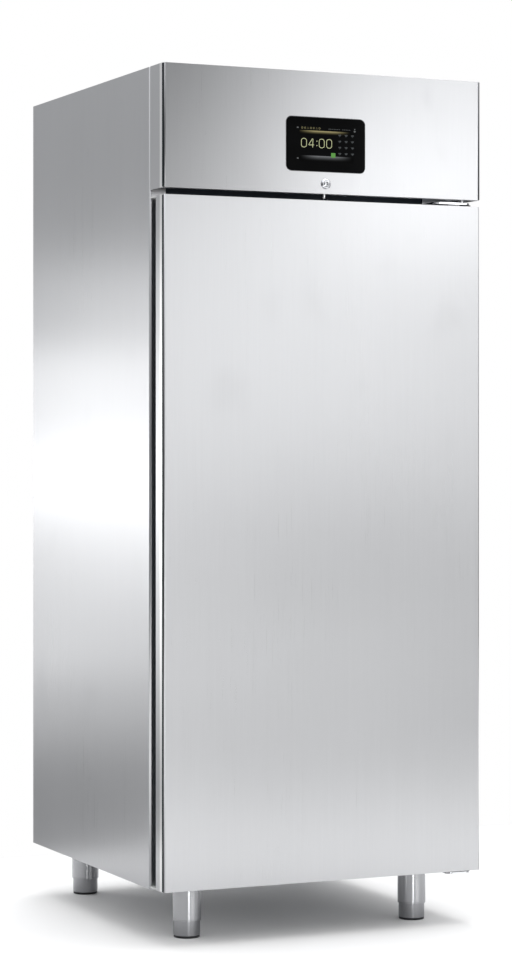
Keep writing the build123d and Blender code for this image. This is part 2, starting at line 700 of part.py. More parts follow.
def door_gasket():
    """The soft ring between the door and the opening frame."""
    y1 = FRAME_Y - SOFT_CLEAR
    z0 = DOOR_BOTTOM + GASKET_END
    z1 = DOOR_TOP - GASKET_END
    ring = block(-GASKET_X, GASKET_X, DOOR_BACK, y1, z0, z1)
    x = GASKET_X - GASKET_WIDTH
    return ring - block(-x, x, DOOR_BACK - 1, y1 + 1, z0 + GASKET_WIDTH, z1 - GASKET_WIDTH)


def strike_plate():
    """The steel plate under the door's top sheet that the bolt drops through."""
    half = STRIKE_WIDTH / 2
    y = FRONT + SHEET
    z = DOOR_TOP - SHEET
    plate = block(-half, half, y, y + STRIKE_DEPTH, z - STRIKE_THICK, z)
    return plate - rod_z(0, BOLT_Y, z - STRIKE_THICK - 1, z + 1, STRIKE_R - 1)


def hinge_bushes():
    """The two flanged bushes that the door turns on."""
    lower = rod_z(HINGE_X, HINGE_Y, DOOR_BOTTOM, DOOR_BOTTOM + BUSH_DEPTH, BUSH_R)
    lower += rod_z(HINGE_X, HINGE_Y, BODY_BOTTOM + FIT, DOOR_BOTTOM, BUSH_FLANGE_R)
    upper = rod_z(HINGE_X, HINGE_Y, DOOR_TOP - BUSH_DEPTH, DOOR_TOP, BUSH_R)
    upper += rod_z(HINGE_X, HINGE_Y, DOOR_TOP, DOOR_TOP + BRACKET_LIFT - SOFT_CLEAR, BUSH_FLANGE_R)
    bore = rod_z(HINGE_X, HINGE_Y, BODY_BOTTOM - 1, DECK_Z, HINGE_PIN_R + FIT)
    return [lower - bore, upper - bore]


def hinge_bracket_top():
    """The upper bracket: a plate over the door, a leg on the opening frame, and its pin."""
    left, right = upper_bracket_x()
    z = DOOR_TOP + BRACKET_LIFT
    nose = FRONT + BRACKET_NOSE
    plate = rounded_block(left, right, nose, FRAME_Y, z, z + BRACKET_THICK, BRACKET_R,
                          [(left, nose), (right, nose)])
    leg = block(left, right, FRAME_Y - BRACKET_THICK, FRAME_Y, z, z + BRACKET_LEG)
    pin = rod_z(HINGE_X, HINGE_Y, DOOR_TOP - BUSH_DEPTH + 2, z + BRACKET_THICK, HINGE_PIN_R)
    return plate + leg + pin - screw_holes(SCREW_R + SCREW_CLEAR)


def hinge_bracket_bottom():
    """The lower bracket: a plate under the cabinet and the door, and its pin."""
    left, right = lower_bracket_x()
    z = BODY_BOTTOM - BRACKET_THICK
    nose = FRONT + BRACKET_NOSE
    tail = nose + LOWER_BRACKET_LENGTH
    plate = rounded_block(left, right, nose, tail, z, BODY_BOTTOM, BRACKET_R,
                          [(left, nose), (right, nose), (left, tail), (right, tail)])
    pin = rod_z(HINGE_X, HINGE_Y, z, DOOR_BOTTOM + BUSH_DEPTH - 2, HINGE_PIN_R)
    return plate + pin - screw_holes(SCREW_R + SCREW_CLEAR)


def m6_screws():
    """Every M6 screw: a round head and a plain shank."""
    screws = []
    face = FRAME_Y - BRACKET_THICK
    for x, z in header_screws():
        screws.append(rod_y(x, face - SCREW_HEAD, face, z, SCREW_HEAD_R)
                      + rod_y(x, face, face + SCREW_LENGTH, z, SCREW_R))
    sill = [(x, y, BODY_BOTTOM - BRACKET_THICK) for x, y in sill_screws()]
    feet = [(x, y, BODY_BOTTOM - SLEEVE_TOP) for x, y in foot_screws()]
    for x, y, under in sill + feet:
        screws.append(rod_z(x, y, under - SCREW_HEAD, under, SCREW_HEAD_R)
                      + rod_z(x, y, under, under + SCREW_LENGTH, SCREW_R))
    return screws


# Machine bay
def unit_base():
    """The condensing unit's plate on two rails."""
    x0 = UNIT_X - UNIT_WIDTH / 2
    x1 = UNIT_X + UNIT_WIDTH / 2
    y1 = UNIT_Y + UNIT_LENGTH
    plate = block(x0, x1, UNIT_Y, y1, UNIT_TOP - UNIT_SHEET, UNIT_TOP)
    rails = [block(x, x + UNIT_SHEET, UNIT_Y, y1, BAY_FLOOR, UNIT_TOP) for x in (x0, x1 - UNIT_SHEET)]
    feet = [block(x0, x0 + 20, UNIT_Y, y1, BAY_FLOOR, BAY_FLOOR + UNIT_SHEET),
            block(x1 - 20, x1, UNIT_Y, y1, BAY_FLOOR, BAY_FLOOR + UNIT_SHEET)]
    return plate + rails + feet


def compressor():
    """The hermetic compressor: a welded can on a foot plate, with its stubs."""
    x = COMPRESSOR_X
    y = COMPRESSOR_Y
    z0 = COMPRESSOR_Z
    seam_z = z0 + 0.55 * COMPRESSOR_HEIGHT
    port_z = z0 + COMPRESSOR_PORT_Z
    port_x = x - COMPRESSOR_R - COMPRESSOR_PORT
    can = rod_z(x, y, z0 + 8, z0 + COMPRESSOR_HEIGHT, COMPRESSOR_R)
    can = fillet(can.edges().filter_by(GeomType.CIRCLE), 0.4 * COMPRESSOR_R)
    seam = rod_z(x, y, seam_z, seam_z + 5, COMPRESSOR_R + 3)
    plate = block(x - COMPRESSOR_FOOT_X, x + COMPRESSOR_FOOT_X, y - COMPRESSOR_FOOT_Y, y + COMPRESSOR_FOOT_Y,
                  z0, z0 + 3)
    neck = rod_z(x, y, z0 + 3, z0 + 40, COMPRESSOR_R / 2)
    stubs = [rod_x(port_x, x, y + COMPRESSOR_PORT_Y, port_z, SUCTION_R),
             rod_x(port_x, x, y - COMPRESSOR_PORT_Y, port_z, DISCHARGE_R)]
    return can + seam + plate + neck + stubs


def compressor_mounts():
    """The four rubber mounts under the compressor's foot plate."""
    dx = COMPRESSOR_FOOT_X - MOUNT_R - 3
    dy = COMPRESSOR_FOOT_Y - MOUNT_R
    return [rod_z(COMPRESSOR_X + sx * dx, COMPRESSOR_Y + sy * dy, UNIT_TOP, COMPRESSOR_Z, MOUNT_R)
            for sx in (-1, 1) for sy in (-1, 1)]


def compressor_cover():
    """The plastic cover over the compressor's terminals."""
    x0 = COMPRESSOR_X + COMPRESSOR_R - 6
    x1 = x0 + COVER_DEPTH
    y0 = COMPRESSOR_Y - COVER_SIZE / 2
    y1 = COMPRESSOR_Y + COVER_SIZE / 2
    z0 = COMPRESSOR_Z + 0.25 * COMPRESSOR_HEIGHT
    z1 = z0 + 0.8 * COVER_SIZE
    cover = rounded_block(x0, x1, y0, y1, z0, z1, 6, [(x1, y0), (x1, y1)])
    return cover - rod_z(COMPRESSOR_X, COMPRESSOR_Y, z0 - 1, z1 + 1, COMPRESSOR_R + SOFT_CLEAR)


def tube_heights(z0, z1, tubes):
    """The heights of a coil's tubes between its bottom and its top."""
    pitch = (z1 - z0) / tubes
    return [z0 + pitch * (i + 0.5) for i in range(tubes)]


def tube_bend(x_end, way, y, z0, z1):
    """A U-bend that joins two of a coil's tubes at one end."""
    reach = x_end + way * BEND_REACH
    return pipe([(x_end, y, z0), (reach, y, z0), (reach, y, z1), (x_end, y, z1)], 10.0, TUBE_R)


def coil(x0, x1, y0, y1, z0, z1, tubes, plate_back):
    """A fin block between two end plates, its tubes joined end to end in one serpentine."""
    core = block(x0 + 2, x1 - 2, y0 + 3, y1 - 3, z0 + 3, z1 - 3)
    plates = [block(x, x + 2, y0, plate_back, z0, z1) for x in (x0, x1 - 2)]
    y = (y0 + y1) / 2
    heights = tube_heights(z0, z1, tubes)
    right = [tube_bend(x1, 1, y, heights[i], heights[i + 1]) for i in range(0, tubes, 2)]
    left = [tube_bend(x0, -1, y, heights[i], heights[i + 1]) for i in range(1, tubes - 1, 2)]
    return core + plates + right + left


def condenser_coil():
    """The condenser, behind the instrument panel."""
    x0 = UNIT_X - CONDENSER_WIDTH / 2
    return coil(x0, x0 + CONDENSER_WIDTH, CONDENSER_Y, SHROUD_Y, UNIT_TOP, UNIT_TOP + CONDENSER_HEIGHT,
                CONDENSER_TUBES, SHROUD_Y)


def condenser_centre():
    """X and Z of the condenser's middle, the fan's axis."""
    return UNIT_X, UNIT_TOP + CONDENSER_HEIGHT / 2


def condenser_shroud():
    """The sheet box that guides the air from the condenser to its fan."""
    cx, cz = condenser_centre()
    w = CONDENSER_WIDTH / 2
    h = CONDENSER_HEIGHT / 2
    rear = SHROUD_Y + SHROUD_DEPTH
    outer = block(cx - w, cx + w, SHROUD_Y, rear, cz - h, cz + h)
    inner = block(cx - w + SHEET, cx + w - SHEET, SHROUD_Y - 1, rear - SHEET, cz - h + SHEET, cz + h - SHEET)
    return outer - inner - rod_y(cx, SHROUD_Y, rear + 1, cz, SHROUD_HOLE_R)


def rotor(cx, y0, cz, radius, depth, blades):
    """A fan's hub and blades about an axis along Y."""
    hub = rod_y(0, 0, depth, 0, FAN_HUB_R)
    blade = Pos((radius + FAN_HUB_R) / 2 - 2, depth / 2, 0) * Rot(BLADE_PITCH, 0, 0)
    blade = blade * Box(radius - FAN_HUB_R + 10, BLADE_THICK, depth * 1.6)
    blade = blade & (rod_y(0, 0, depth, 0, radius))
    turned = [Rot(0, 360 * i / blades, 0) * blade for i in range(blades)]
    wheel = hub + turned - rod_y(0, depth - 14, depth + 1, 0, FAN_SHAFT_R + FIT)
    return Pos(cx, y0, cz) * wheel


def fan_motor(cx, y0, cz, arm_plane, arm_r):
    """A fan's motor with its shaft and four arms that reach forward to a mounting plane."""
    can = rod_y(cx, y0, y0 + FAN_MOTOR, cz, FAN_MOTOR_R)
    can = fillet(can.edges().filter_by(GeomType.CIRCLE), 6)
    shaft = rod_y(cx, y0 - 12, y0 + 1, cz, FAN_SHAFT_R)
    motor = can + shaft
    for a in (45, 135, 225, 315):
        far_x = arm_r * math.cos(math.radians(a))
        far_z = arm_r * math.sin(math.radians(a))
        near_x = far_x * 0.2
        near_z = far_z * 0.2
        motor += pipe([(cx + near_x, y0 + 20, cz + near_z), (cx + far_x, y0 + 20, cz + far_z),
                       (cx + far_x, arm_plane, cz + far_z)], 8.0, FAN_ARM_R)
    return motor


def condenser_fan():
    """The condenser fan's wheel."""
    cx, cz = condenser_centre()
    return rotor(cx, SHROUD_Y + SHROUD_DEPTH - FAN_DEPTH + 8, cz, COND_FAN_R, FAN_DEPTH, 5)


def condenser_fan_motor():
    """The condenser fan's motor on its four arms."""
    cx, cz = condenser_centre()
    rear = SHROUD_Y + SHROUD_DEPTH
    return fan_motor(cx, rear + 12, cz, rear, SHROUD_HOLE_R + FAN_ARM_OUT)


def refrigerant_pipes():
    """The copper runs and the filter drier."""
    x = COMPRESSOR_X - COMPRESSOR_R - COMPRESSOR_PORT
    y_out = COMPRESSOR_Y - COMPRESSOR_PORT_Y
    y_in = COMPRESSOR_Y + COMPRESSOR_PORT_Y
    z = COMPRESSOR_Z + COMPRESSOR_PORT_Z
    coil_x = UNIT_X - CONDENSER_WIDTH / 2
    side = coil_x - PIPE_OUT
    outside = coil_x - PIPE_FAR
    y_mid = CONDENSER_Y + CONDENSER_DEPTH / 2
    hot = tube_heights(UNIT_TOP, UNIT_TOP + CONDENSER_HEIGHT, CONDENSER_TUBES)
    cold = tube_heights(COIL_Z, COIL_TOP, COIL_TUBES)
    low = hot[0]
    discharge = pipe([(x, y_out, z), (outside, y_out, z), (outside, y_mid, z),
                      (outside, y_mid, hot[-1]), (coil_x, y_mid, hot[-1])], 3 * DISCHARGE_R, DISCHARGE_R)
    drier_y = y_mid + DRIER_BACK
    liquid = pipe([(coil_x, y_mid, low), (side, y_mid, low), (side, drier_y, low)], 4 * LIQUID_R, LIQUID_R)
    drier = rod_y(side, drier_y + 8, drier_y + DRIER_LENGTH - 8, low, DRIER_R)
    drier += rod_y(side, drier_y, drier_y + DRIER_LENGTH, low, DRIER_R / 2)
    feed = pipe([(side, drier_y + DRIER_LENGTH, low), (side, PASS_Y, low), (PASS_X - PIPE_GAP, PASS_Y, low),
                 (PASS_X - PIPE_GAP, PASS_Y, cold[0]), (-COIL_X, PASS_Y, cold[0])], 7.0, FEED_R)
    suction = pipe([(x, y_in, z), (outside, y_in, z), (outside, PASS_Y, z), (PASS_X + PIPE_GAP, PASS_Y, z),
                    (PASS_X + PIPE_GAP, PASS_Y, cold[-1]), (-COIL_X, PASS_Y, cold[-1])],
                   2 * SUCTION_R, SUCTION_R)
    return [discharge, liquid, drier, feed, suction]


def control_box():
    """The electrical box and its lid."""
    x1 = HALF - SHEET - BOX_SIDE_GAP
    x0 = x1 - BOX_WIDTH
    y0 = FRONT + BOX_FRONT
    y1 = y0 + BOX_LENGTH
    z1 = BAY_FLOOR + BOX_HEIGHT
    outer = block(x0, x1, y0, y1, BAY_FLOOR, z1)
    inner = block(x0 + 1.5, x1 - 1.5, y0 + 1.5, y1 - 1.5, BAY_FLOOR + 1.5, z1 + 1)
    lid = block(x0 - 1.5, x1 + 1.5, y0 - 1.5, y1 + 1.5, z1, z1 + 1.5)
    lid += block(x0 - 1.5, x0, y0 - 1.5, y1 + 1.5, z1 - 12, z1)
    rail = block(x0 + 40, x0 + 75, y0 + 20, y1 - 20, BAY_FLOOR + 1.5, BAY_FLOOR + 9)
    modules = block(x0 + 30, x0 + 90, y0 + 40, y1 - 60, BAY_FLOOR + 9, BAY_FLOOR + 70)
    return [outer - inner + rail + modules, lid]


def water_valve():
    """The humidifier's solenoid valve and its threaded inlet through the grille."""
    y1 = BACK + REAR_PROUD
    inlet = rod_y(INLET_X, BACK - 24, y1, SERVICE_Z, INLET_R)
    bore = rod_y(INLET_X, BACK - 20, y1 + 1, SERVICE_Z, INLET_R - 3.5)
    nut = rod_y(INLET_X, BACK - SHEET - 4, BACK - SHEET, SERVICE_Z, INLET_R + 4)
    y = BACK - SERVICE_DEPTH
    body = block(INLET_X - 15, INLET_X + 15, y - 16, y + 16, SERVICE_Z - 15, SERVICE_Z + 15)
    coil_can = rod_z(INLET_X, y, SERVICE_Z + 15, SERVICE_Z + 58, 16)
    neck = rod_y(INLET_X, BACK, BACK + NECK, SERVICE_Z, INLET_R + 1)
    neck -= rod_y(INLET_X, BACK - 1, BACK + NECK + 1, SERVICE_Z, INLET_R - NECK_CUT)
    return inlet + nut + body + coil_can - bore - neck


def steam_pipe():
    """The tube from the valve down to the spray nozzle over the heater."""
    z = SERVICE_Z - 15
    y = BACK - SERVICE_DEPTH
    front = COIL_Y - STEAM_GAP
    over = COIL_TOP + STEAM_OVER
    nozzle_z = COIL_TOP - 60
    run = pipe([(INLET_X, y, z), (INLET_X, y, z - 30), (STEAM_X, y, z - 30), (STEAM_X, PASS_Y, z - 30),
                (STEAM_X, PASS_Y, over), (STEAM_X, front, over), (STEAM_X, front, nozzle_z)], 9.0, STEAM_R)
    nozzle = rod_z(STEAM_X, front, nozzle_z - 14, nozzle_z, 8)
    return run + nozzle


def cable_gland():
    """The mains cable's gland in the rear grille, left empty."""
    inside = rod_y(GLAND_X, BACK - SHEET - 6, BACK - SHEET, SERVICE_Z, 13)
    neck = rod_y(GLAND_X, BACK - 12, BACK + 10, SERVICE_Z, CABLE_R + 3)
    collar = rod_y(GLAND_X, BACK, BACK + REAR_PROUD - 2, SERVICE_Z, 12)
    bore = rod_y(GLAND_X, BACK - 20, BACK + REAR_PROUD, SERVICE_Z, CABLE_R)
    return inside + neck + collar - bore


# Chamber fittings
def runner_levels():
    """The heights of the tray ledges."""
    return [CHAMBER_FLOOR + RUNNER_FIRST + RUNNER_PITCH * i for i in range(RUNNER_LEVELS)]


def upright(depth):
    """One slotted channel on the right wall, at a depth behind the door's face."""
    y0 = FRONT + depth
    y1 = y0 + UPRIGHT_WIDTH
    x0 = CHAMBER_X - UPRIGHT_DEPTH
    z0 = CHAMBER_FLOOR + CHAMBER_R
    z1 = CHAMBER_TOP - 4
    channel = block(x0, CHAMBER_X, y0, y1, z0, z1)
    channel -= block(x0 + UPRIGHT_SHEET, CHAMBER_X + 1, y0 + UPRIGHT_SHEET, y1 - UPRIGHT_SHEET,
                     z0 - 1, z1 + 1)
    middle = (y0 + y1) / 2
    half = HOOK_WIDTH / 2 + 0.5
    slots = [block(x0 - 1, x0 + UPRIGHT_SHEET + 1, middle - half, middle + half, z - RUNNER_LEG + 2, z - 4)
             for z in runner_levels()]
    return channel - slots


def tray_runner(z):
    """One tray ledge on the right side, with its leg and its two hooks."""
    wall = CHAMBER_X - UPRIGHT_DEPTH
    y0 = FRONT + RUNNER_START
    y1 = DUCT_Y - RUNNER_END
    ledge = block(wall - RUNNER_LEDGE, wall, y0, y1, z, z + RUNNER_SHEET)
    leg = block(wall - RUNNER_SHEET, wall, y0, y1, z - RUNNER_LEG, z)
    hooks = []
    for depth in (UPRIGHT_FRONT, UPRIGHT_REAR):
        middle = FRONT + depth + UPRIGHT_WIDTH / 2
        hooks.append(block(wall, wall + 5, middle - HOOK_WIDTH / 2, middle + HOOK_WIDTH / 2,
                           z - RUNNER_LEG + 4, z - 6))
    return ledge + leg + hooks


def duct_panel():
    """The rear plenum's folded front sheet with its fan mouths and air slots."""
    x = CHAMBER_X - DUCT_SIDE_GAP
    z0 = CHAMBER_FLOOR + DUCT_END_GAP
    z1 = CHAMBER_TOP - DUCT_END_GAP
    rear = CHAMBER_BACK - CHAMBER_R
    outer = block(-x, x, DUCT_Y, rear, z0, z1)
    inner = block(DUCT_SHEET - x, x - DUCT_SHEET, DUCT_Y + DUCT_SHEET, rear + 1, z0 - 1, z1 + 1)
    mouths = [rod_y(s * FAN_SPREAD, DUCT_Y - 1, DUCT_Y + 3, FAN_Z, FAN_R + FAN_TIP_GAP) for s in (-1, 1)]
    middle = 0.6 * x
    half = DUCT_SLOT_LENGTH / 2
    slots = [block(s * middle - half, s * middle + half, DUCT_Y - 1, DUCT_Y + 3, z, z + DUCT_SLOT)
             for s in (-1, 1) for z in [z0 + DUCT_SLOT_PITCH * (i + 1) for i in range(DUCT_SLOTS)]]
    tabs = [block(x, CHAMBER_X, rear - 3 * DUCT_TAB, rear - 2 * DUCT_TAB, z, z + DUCT_TAB)
            for z in (z0 + 2 * DUCT_TAB, (z0 + z1) / 2, z1 - 3 * DUCT_TAB)]
    return outer - inner - mouths - slots + [t for tab in tabs for t in both_sides(tab)]


def chamber_fan(side):
    """One chamber fan's wheel."""
    return rotor(side * FAN_SPREAD, DUCT_Y + 6, FAN_Z, FAN_R, FAN_DEPTH, 5)


def fan_guard(cx):
    """A fan's wire guard on the duct panel's face, held by four small tabs."""
    wire = 1.5
    reach = 2 * FAN_R + 2 * FAN_TIP_GAP + 16
    spoke_y = DUCT_Y - wire
    rings = [Pos(cx, spoke_y - 2 * wire + 0.4, FAN_Z) * Rot(90, 0, 0) * Torus(r, wire)
             for r in (24.0, 47.0, 70.0, 93.0)]
    spokes = [Pos(cx, spoke_y, FAN_Z) * Rot(0, a, 0) * Rot(0, 90, 0) * Cylinder(wire, reach)
              for a in (0, 90)]
    tabs = [Pos(cx, DUCT_Y - 1, FAN_Z) * Rot(0, a, 0) * Pos(reach / 2, 0, 0) * Box(8, 2, 12)
            for a in (0, 90, 180, 270)]
    return rings[0] + rings[1:] + spokes + tabs


def chamber_fan_motors():
    """The two chamber fans' motors and wire guards."""
    pieces = []
    arm_r = FAN_R + FAN_TIP_GAP + FAN_ARM_OUT
    for side in (-1, 1):
        cx = side * FAN_SPREAD
        pieces.append(fan_motor(cx, DUCT_Y + FAN_DEPTH + 10, FAN_Z, DUCT_Y + DUCT_SHEET, arm_r))
        pieces.append(fan_guard(cx))
    return pieces


def evaporator_coil():
    """The evaporator behind the duct panel, its end plates fixed to the rear wall."""
    return coil(-COIL_X, COIL_X, COIL_Y, COIL_Y + COIL_DEPTH, COIL_Z, COIL_TOP,
                COIL_TUBES, CHAMBER_BACK)


def evaporator_tray():
    """The drip tray's floor and walls, its two brackets, and the drain tube through the floor."""
    x = COIL_X + DRIP_RIM
    y0 = COIL_Y - DRIP_RIM
    y1 = COIL_Y + COIL_DEPTH + DRIP_RIM
    z0 = COIL_Z - DRIP_HEIGHT
    floor = z0 + DRIP_WALL
    top = COIL_Z - 2
    bottom = block(-x, x, y0, y1, z0, floor) - rod_z(0, drain_y(), z0 - 1, COIL_Z, DRAIN_R - DRAIN_WALL)
    front = block(-x, x, y0, y0 + DRIP_WALL, floor, top)
    back = block(-x, x, y1 - DRIP_WALL, y1, floor, top)
    side = block(x - DRIP_WALL, x, y0 + DRIP_WALL, y1 - DRIP_WALL, floor, top)
    bracket = block(x - 6, x, y1 - 30, CHAMBER_BACK, z0 - 20, z0)
    end = BODY_BOTTOM - DRAIN_REACH
    tube = rod_z(0, drain_y(), end, z0, DRAIN_R) - rod_z(0, drain_y(), end - 1, z0 + 1, DRAIN_R - DRAIN_WALL)
    neck = rod_z(0, drain_y(), BODY_BOTTOM - NECK, BODY_BOTTOM, DRAIN_R + 1)
    neck -= rod_z(0, drain_y(), BODY_BOTTOM - NECK - 1, BODY_BOTTOM + 1, DRAIN_R - NECK_CUT)
    sides = [side, mirror(side, Plane.YZ)]
    brackets = [bracket, mirror(bracket, Plane.YZ)]
    return [bottom, front, back] + sides + brackets + [tube - neck]


def heating_element():
    """The armoured heater, a loop in front of the evaporator, with its two clips."""
    y = COIL_Y - HEATER_GAP
    z0 = COIL_Z + HEATER_RISE
    z1 = z0 + HEATER_HEIGHT
    x = COIL_X - HEATER_INSET
    loop = pipe([(-x, y, z1), (-x, y, z0), (x, y, z0), (x, y, z1), (30 - x, y, z1), (30 - x, y, z0 + 45)],
                16.0, HEATER_R)
    clips = [block(cx - 6, cx + 6, y, COIL_Y + 3, z0 - 3, z0 + 3) for cx in (30 - x, x - 30)]
    return loop + clips


def light_strip():
    """The light profile on the chamber's left wall, beside the mouth."""
    x0 = -CHAMBER_X
    x1 = x0 + LIGHT_DEPTH
    y0 = RING_BACK + LIGHT_BACK
    y1 = y0 + LIGHT_WIDTH
    return rounded_block(x0, x1, y0, y1, CHAMBER_FLOOR + LIGHT_END, CHAMBER_TOP - LIGHT_END,
                         0.4 * LIGHT_DEPTH, [(x1, y0), (x1, y1)])


def probes():
    """The temperature and humidity probes on the duct panel."""
    pieces = []
    z = FAN_Z - FAN_R - PROBE_DROP
    for x in (-30.0, 30.0):
        clip = block(x - 6, x + 6, DUCT_Y - 10, DUCT_Y, z - 4, z + 4)
        pieces.append(clip + rod_z(x, DUCT_Y - 10, z - 45, z + 20, PROBE_R))
    return pieces


# Feet
def foot_sleeve(x, y):
    """A fixed foot tube with its top disc and threaded boss."""
    tube = rod_z(x, y, SLEEVE_END, BODY_BOTTOM, SLEEVE_R)
    tube -= rod_z(x, y, SLEEVE_END - 1, BODY_BOTTOM - SLEEVE_TOP, SLEEVE_R - SLEEVE_WALL)
    boss = rod_z(x, y, BODY_BOTTOM - SLEEVE_TOP - BOSS_DEPTH, BODY_BOTTOM - SLEEVE_TOP, BOSS_R)
    bore = rod_z(x, y, SLEEVE_END, BODY_BOTTOM + 1, STEM_R + FIT)
    return tube + boss - bore - screw_holes(SCREW_R + SCREW_CLEAR)


def foot_stem(x, y):
    """The adjustable part: a cup that slides in the sleeve, and its threaded stem."""
    cup = rod_z(x, y, PAD_THICK, CUP_TOP, CUP_R)
    cup -= rod_z(x, y, PAD_THICK + 4, CUP_TOP + 1, CUP_R - CUP_WALL)
    return cup + rod_z(x, y, PAD_THICK, STEM_TOP, STEM_R)


def foot_pad(x, y):
    """The rubber disc under a foot."""
    pad = rod_z(x, y, 0, PAD_THICK, PAD_R)
    rim = [e for e in pad.edges().filter_by(GeomType.CIRCLE) if e.center().Z < 1]
    return fillet(rim, 1.0)


def main():
    """Build every node and write it."""
    os.makedirs("parts", exist_ok=True)
    save("side_panel_right", side_panel())
    save("side_panel_left", mirror(side_panel(), Plane.YZ))
    save("back_panel", back_panel())
    save("base_panel", base_panel())
    save("roof_deck", roof_deck())
    save("chamber_liner", chamber_liner())
    save("cabinet_insulation", *cabinet_insulation())
    save("opening_frame", opening_frame())
    save("rear_grille", rear_grille())

    save("dashboard_panel", dashboard_panel())
    save("display_glass", display_glass())
    save("display_module", *display_module())
    save("dashboard_hinges", *both_sides(dashboard_hinge()))
    save("lock_housing", lock_housing())
    save("lock_cylinder", lock_cylinder())
    save("lock_bolt", lock_bolt())

    save("door_skin", door_skin())
    save("door_liner", door_liner())
    save("door_foam", *door_foam())
    save("grip_profile", *grip_profile())
    save("door_end_caps", *door_end_caps())
    save("door_gasket", door_gasket())
    save("strike_plate", strike_plate())
    save("hinge_bushes", *hinge_bushes())
    save("hinge_bracket_top", hinge_bracket_top())
    save("hinge_bracket_bottom", hinge_bracket_bottom())
    save("m6_screws", *m6_screws())

    save("unit_base", unit_base())
    save("compressor", compressor())
    save("compressor_mounts", *compressor_mounts())
    save("compressor_cover", compressor_cover())
    save("condenser_coil", condenser_coil())
    save("condenser_shroud", condenser_shroud())
    save("condenser_fan", condenser_fan())
    save("condenser_fan_motor", condenser_fan_motor())
    save("refrigerant_pipes", *refrigerant_pipes())
    save("control_box", *control_box())
    save("water_valve", water_valve())
    save("steam_pipe", steam_pipe())
    save("cable_gland", cable_gland())

    save("uprights", *both_sides(upright(UPRIGHT_FRONT)), *both_sides(upright(UPRIGHT_REAR)))
    save("tray_runners", *[r for z in runner_levels() for r in both_sides(tray_runner(z))])
    save("duct_panel", duct_panel())
    save("chamber_fan_left", chamber_fan(-1))
    save("chamber_fan_right", chamber_fan(1))
    save("chamber_fan_motors", *chamber_fan_motors())
    save("evaporator_coil", evaporator_coil())
    save("evaporator_tray", *evaporator_tray())
    save("heating_element", heating_element())
    save("light_strip", light_strip())
    save("probes", *probes())

    save("foot_sleeves", *[foot_sleeve(x, y) for x, y in FOOT_SPOTS.values()])
    for name, (x, y) in FOOT_SPOTS.items():
        save(f"foot_stem_{name}", foot_stem(x, y))
        save(f"foot_pad_{name}", foot_pad(x, y))


main()
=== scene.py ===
import math

import bmesh
import bpy
from mathutils import Matrix, Vector


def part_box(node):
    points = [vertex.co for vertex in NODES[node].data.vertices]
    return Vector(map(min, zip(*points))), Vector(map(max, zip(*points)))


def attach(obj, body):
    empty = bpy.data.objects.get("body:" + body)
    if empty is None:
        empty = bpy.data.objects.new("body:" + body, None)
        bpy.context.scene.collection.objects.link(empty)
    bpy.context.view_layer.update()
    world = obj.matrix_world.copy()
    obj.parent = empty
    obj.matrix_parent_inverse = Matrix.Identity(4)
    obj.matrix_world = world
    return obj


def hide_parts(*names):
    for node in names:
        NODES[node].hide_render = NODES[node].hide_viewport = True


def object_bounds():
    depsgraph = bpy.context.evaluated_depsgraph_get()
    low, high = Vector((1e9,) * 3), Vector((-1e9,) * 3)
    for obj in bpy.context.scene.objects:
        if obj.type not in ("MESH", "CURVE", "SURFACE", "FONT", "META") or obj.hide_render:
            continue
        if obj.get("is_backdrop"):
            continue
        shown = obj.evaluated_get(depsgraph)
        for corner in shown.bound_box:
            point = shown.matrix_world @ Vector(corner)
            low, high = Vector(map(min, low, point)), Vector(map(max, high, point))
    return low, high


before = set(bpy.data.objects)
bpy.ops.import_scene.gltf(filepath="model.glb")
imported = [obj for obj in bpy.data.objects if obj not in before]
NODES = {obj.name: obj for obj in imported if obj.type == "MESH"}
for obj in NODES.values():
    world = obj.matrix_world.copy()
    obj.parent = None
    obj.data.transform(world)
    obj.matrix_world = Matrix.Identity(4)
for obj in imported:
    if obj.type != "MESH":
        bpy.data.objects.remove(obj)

bl_info = {
    "name": "Retarder Proofer",
    "version": (1, 0, 0),
    "blender": (4, 5, 0),
    "location": "View3D > Sidebar > Proofer",
    "description": "Dresses the cabinet's frame with detailed pieces, finishes, floor, light and camera",
    "category": "Object",
}

MM = 0.001
FOLD = (-0.395, -0.430)  # metres: the folded panels' left side and their front


# Settings that a user would change
def hue(name, description, default):
    """A colour setting."""
    return bpy.props.FloatVectorProperty(
        name=name, description=description, subtype="COLOR", size=3, min=0, max=1, default=default)


def length(name, description, low, high, default):
    """A setting in metres."""
    return bpy.props.FloatProperty(
        name=name, description=description, unit="LENGTH", min=low, max=high, default=default)


class ProoferColours(bpy.types.PropertyGroup):
    """The colours of the cabinet's finishes."""

    steel: hue("Outer steel", "Tone of the satin sheets outside", (0.57, 0.575, 0.587))
    inner_steel: hue("Inner steel", "Tone of the chamber's sheets", (0.54, 0.545, 0.552))
    zinc: hue("Zinc", "Tone of the galvanised sheets", (0.52, 0.54, 0.56))
    frame_plastic: hue("Opening frame", "Tone of the frame that the door shuts on", (0.006, 0.011, 0.018))
    grey_plastic: hue("Grey plastic", "Tone of the door's end caps", (0.42, 0.43, 0.43))
    digits: hue("Screen digits", "Light of the screen's digits", (0.86, 0.90, 0.52))
    glow: hue("Screen glow", "Light of the bar under the screen's icons", (0.72, 0.62, 0.30))
    key_green: hue("Start key", "Light of the screen's green key", (0.12, 0.33, 0.075))


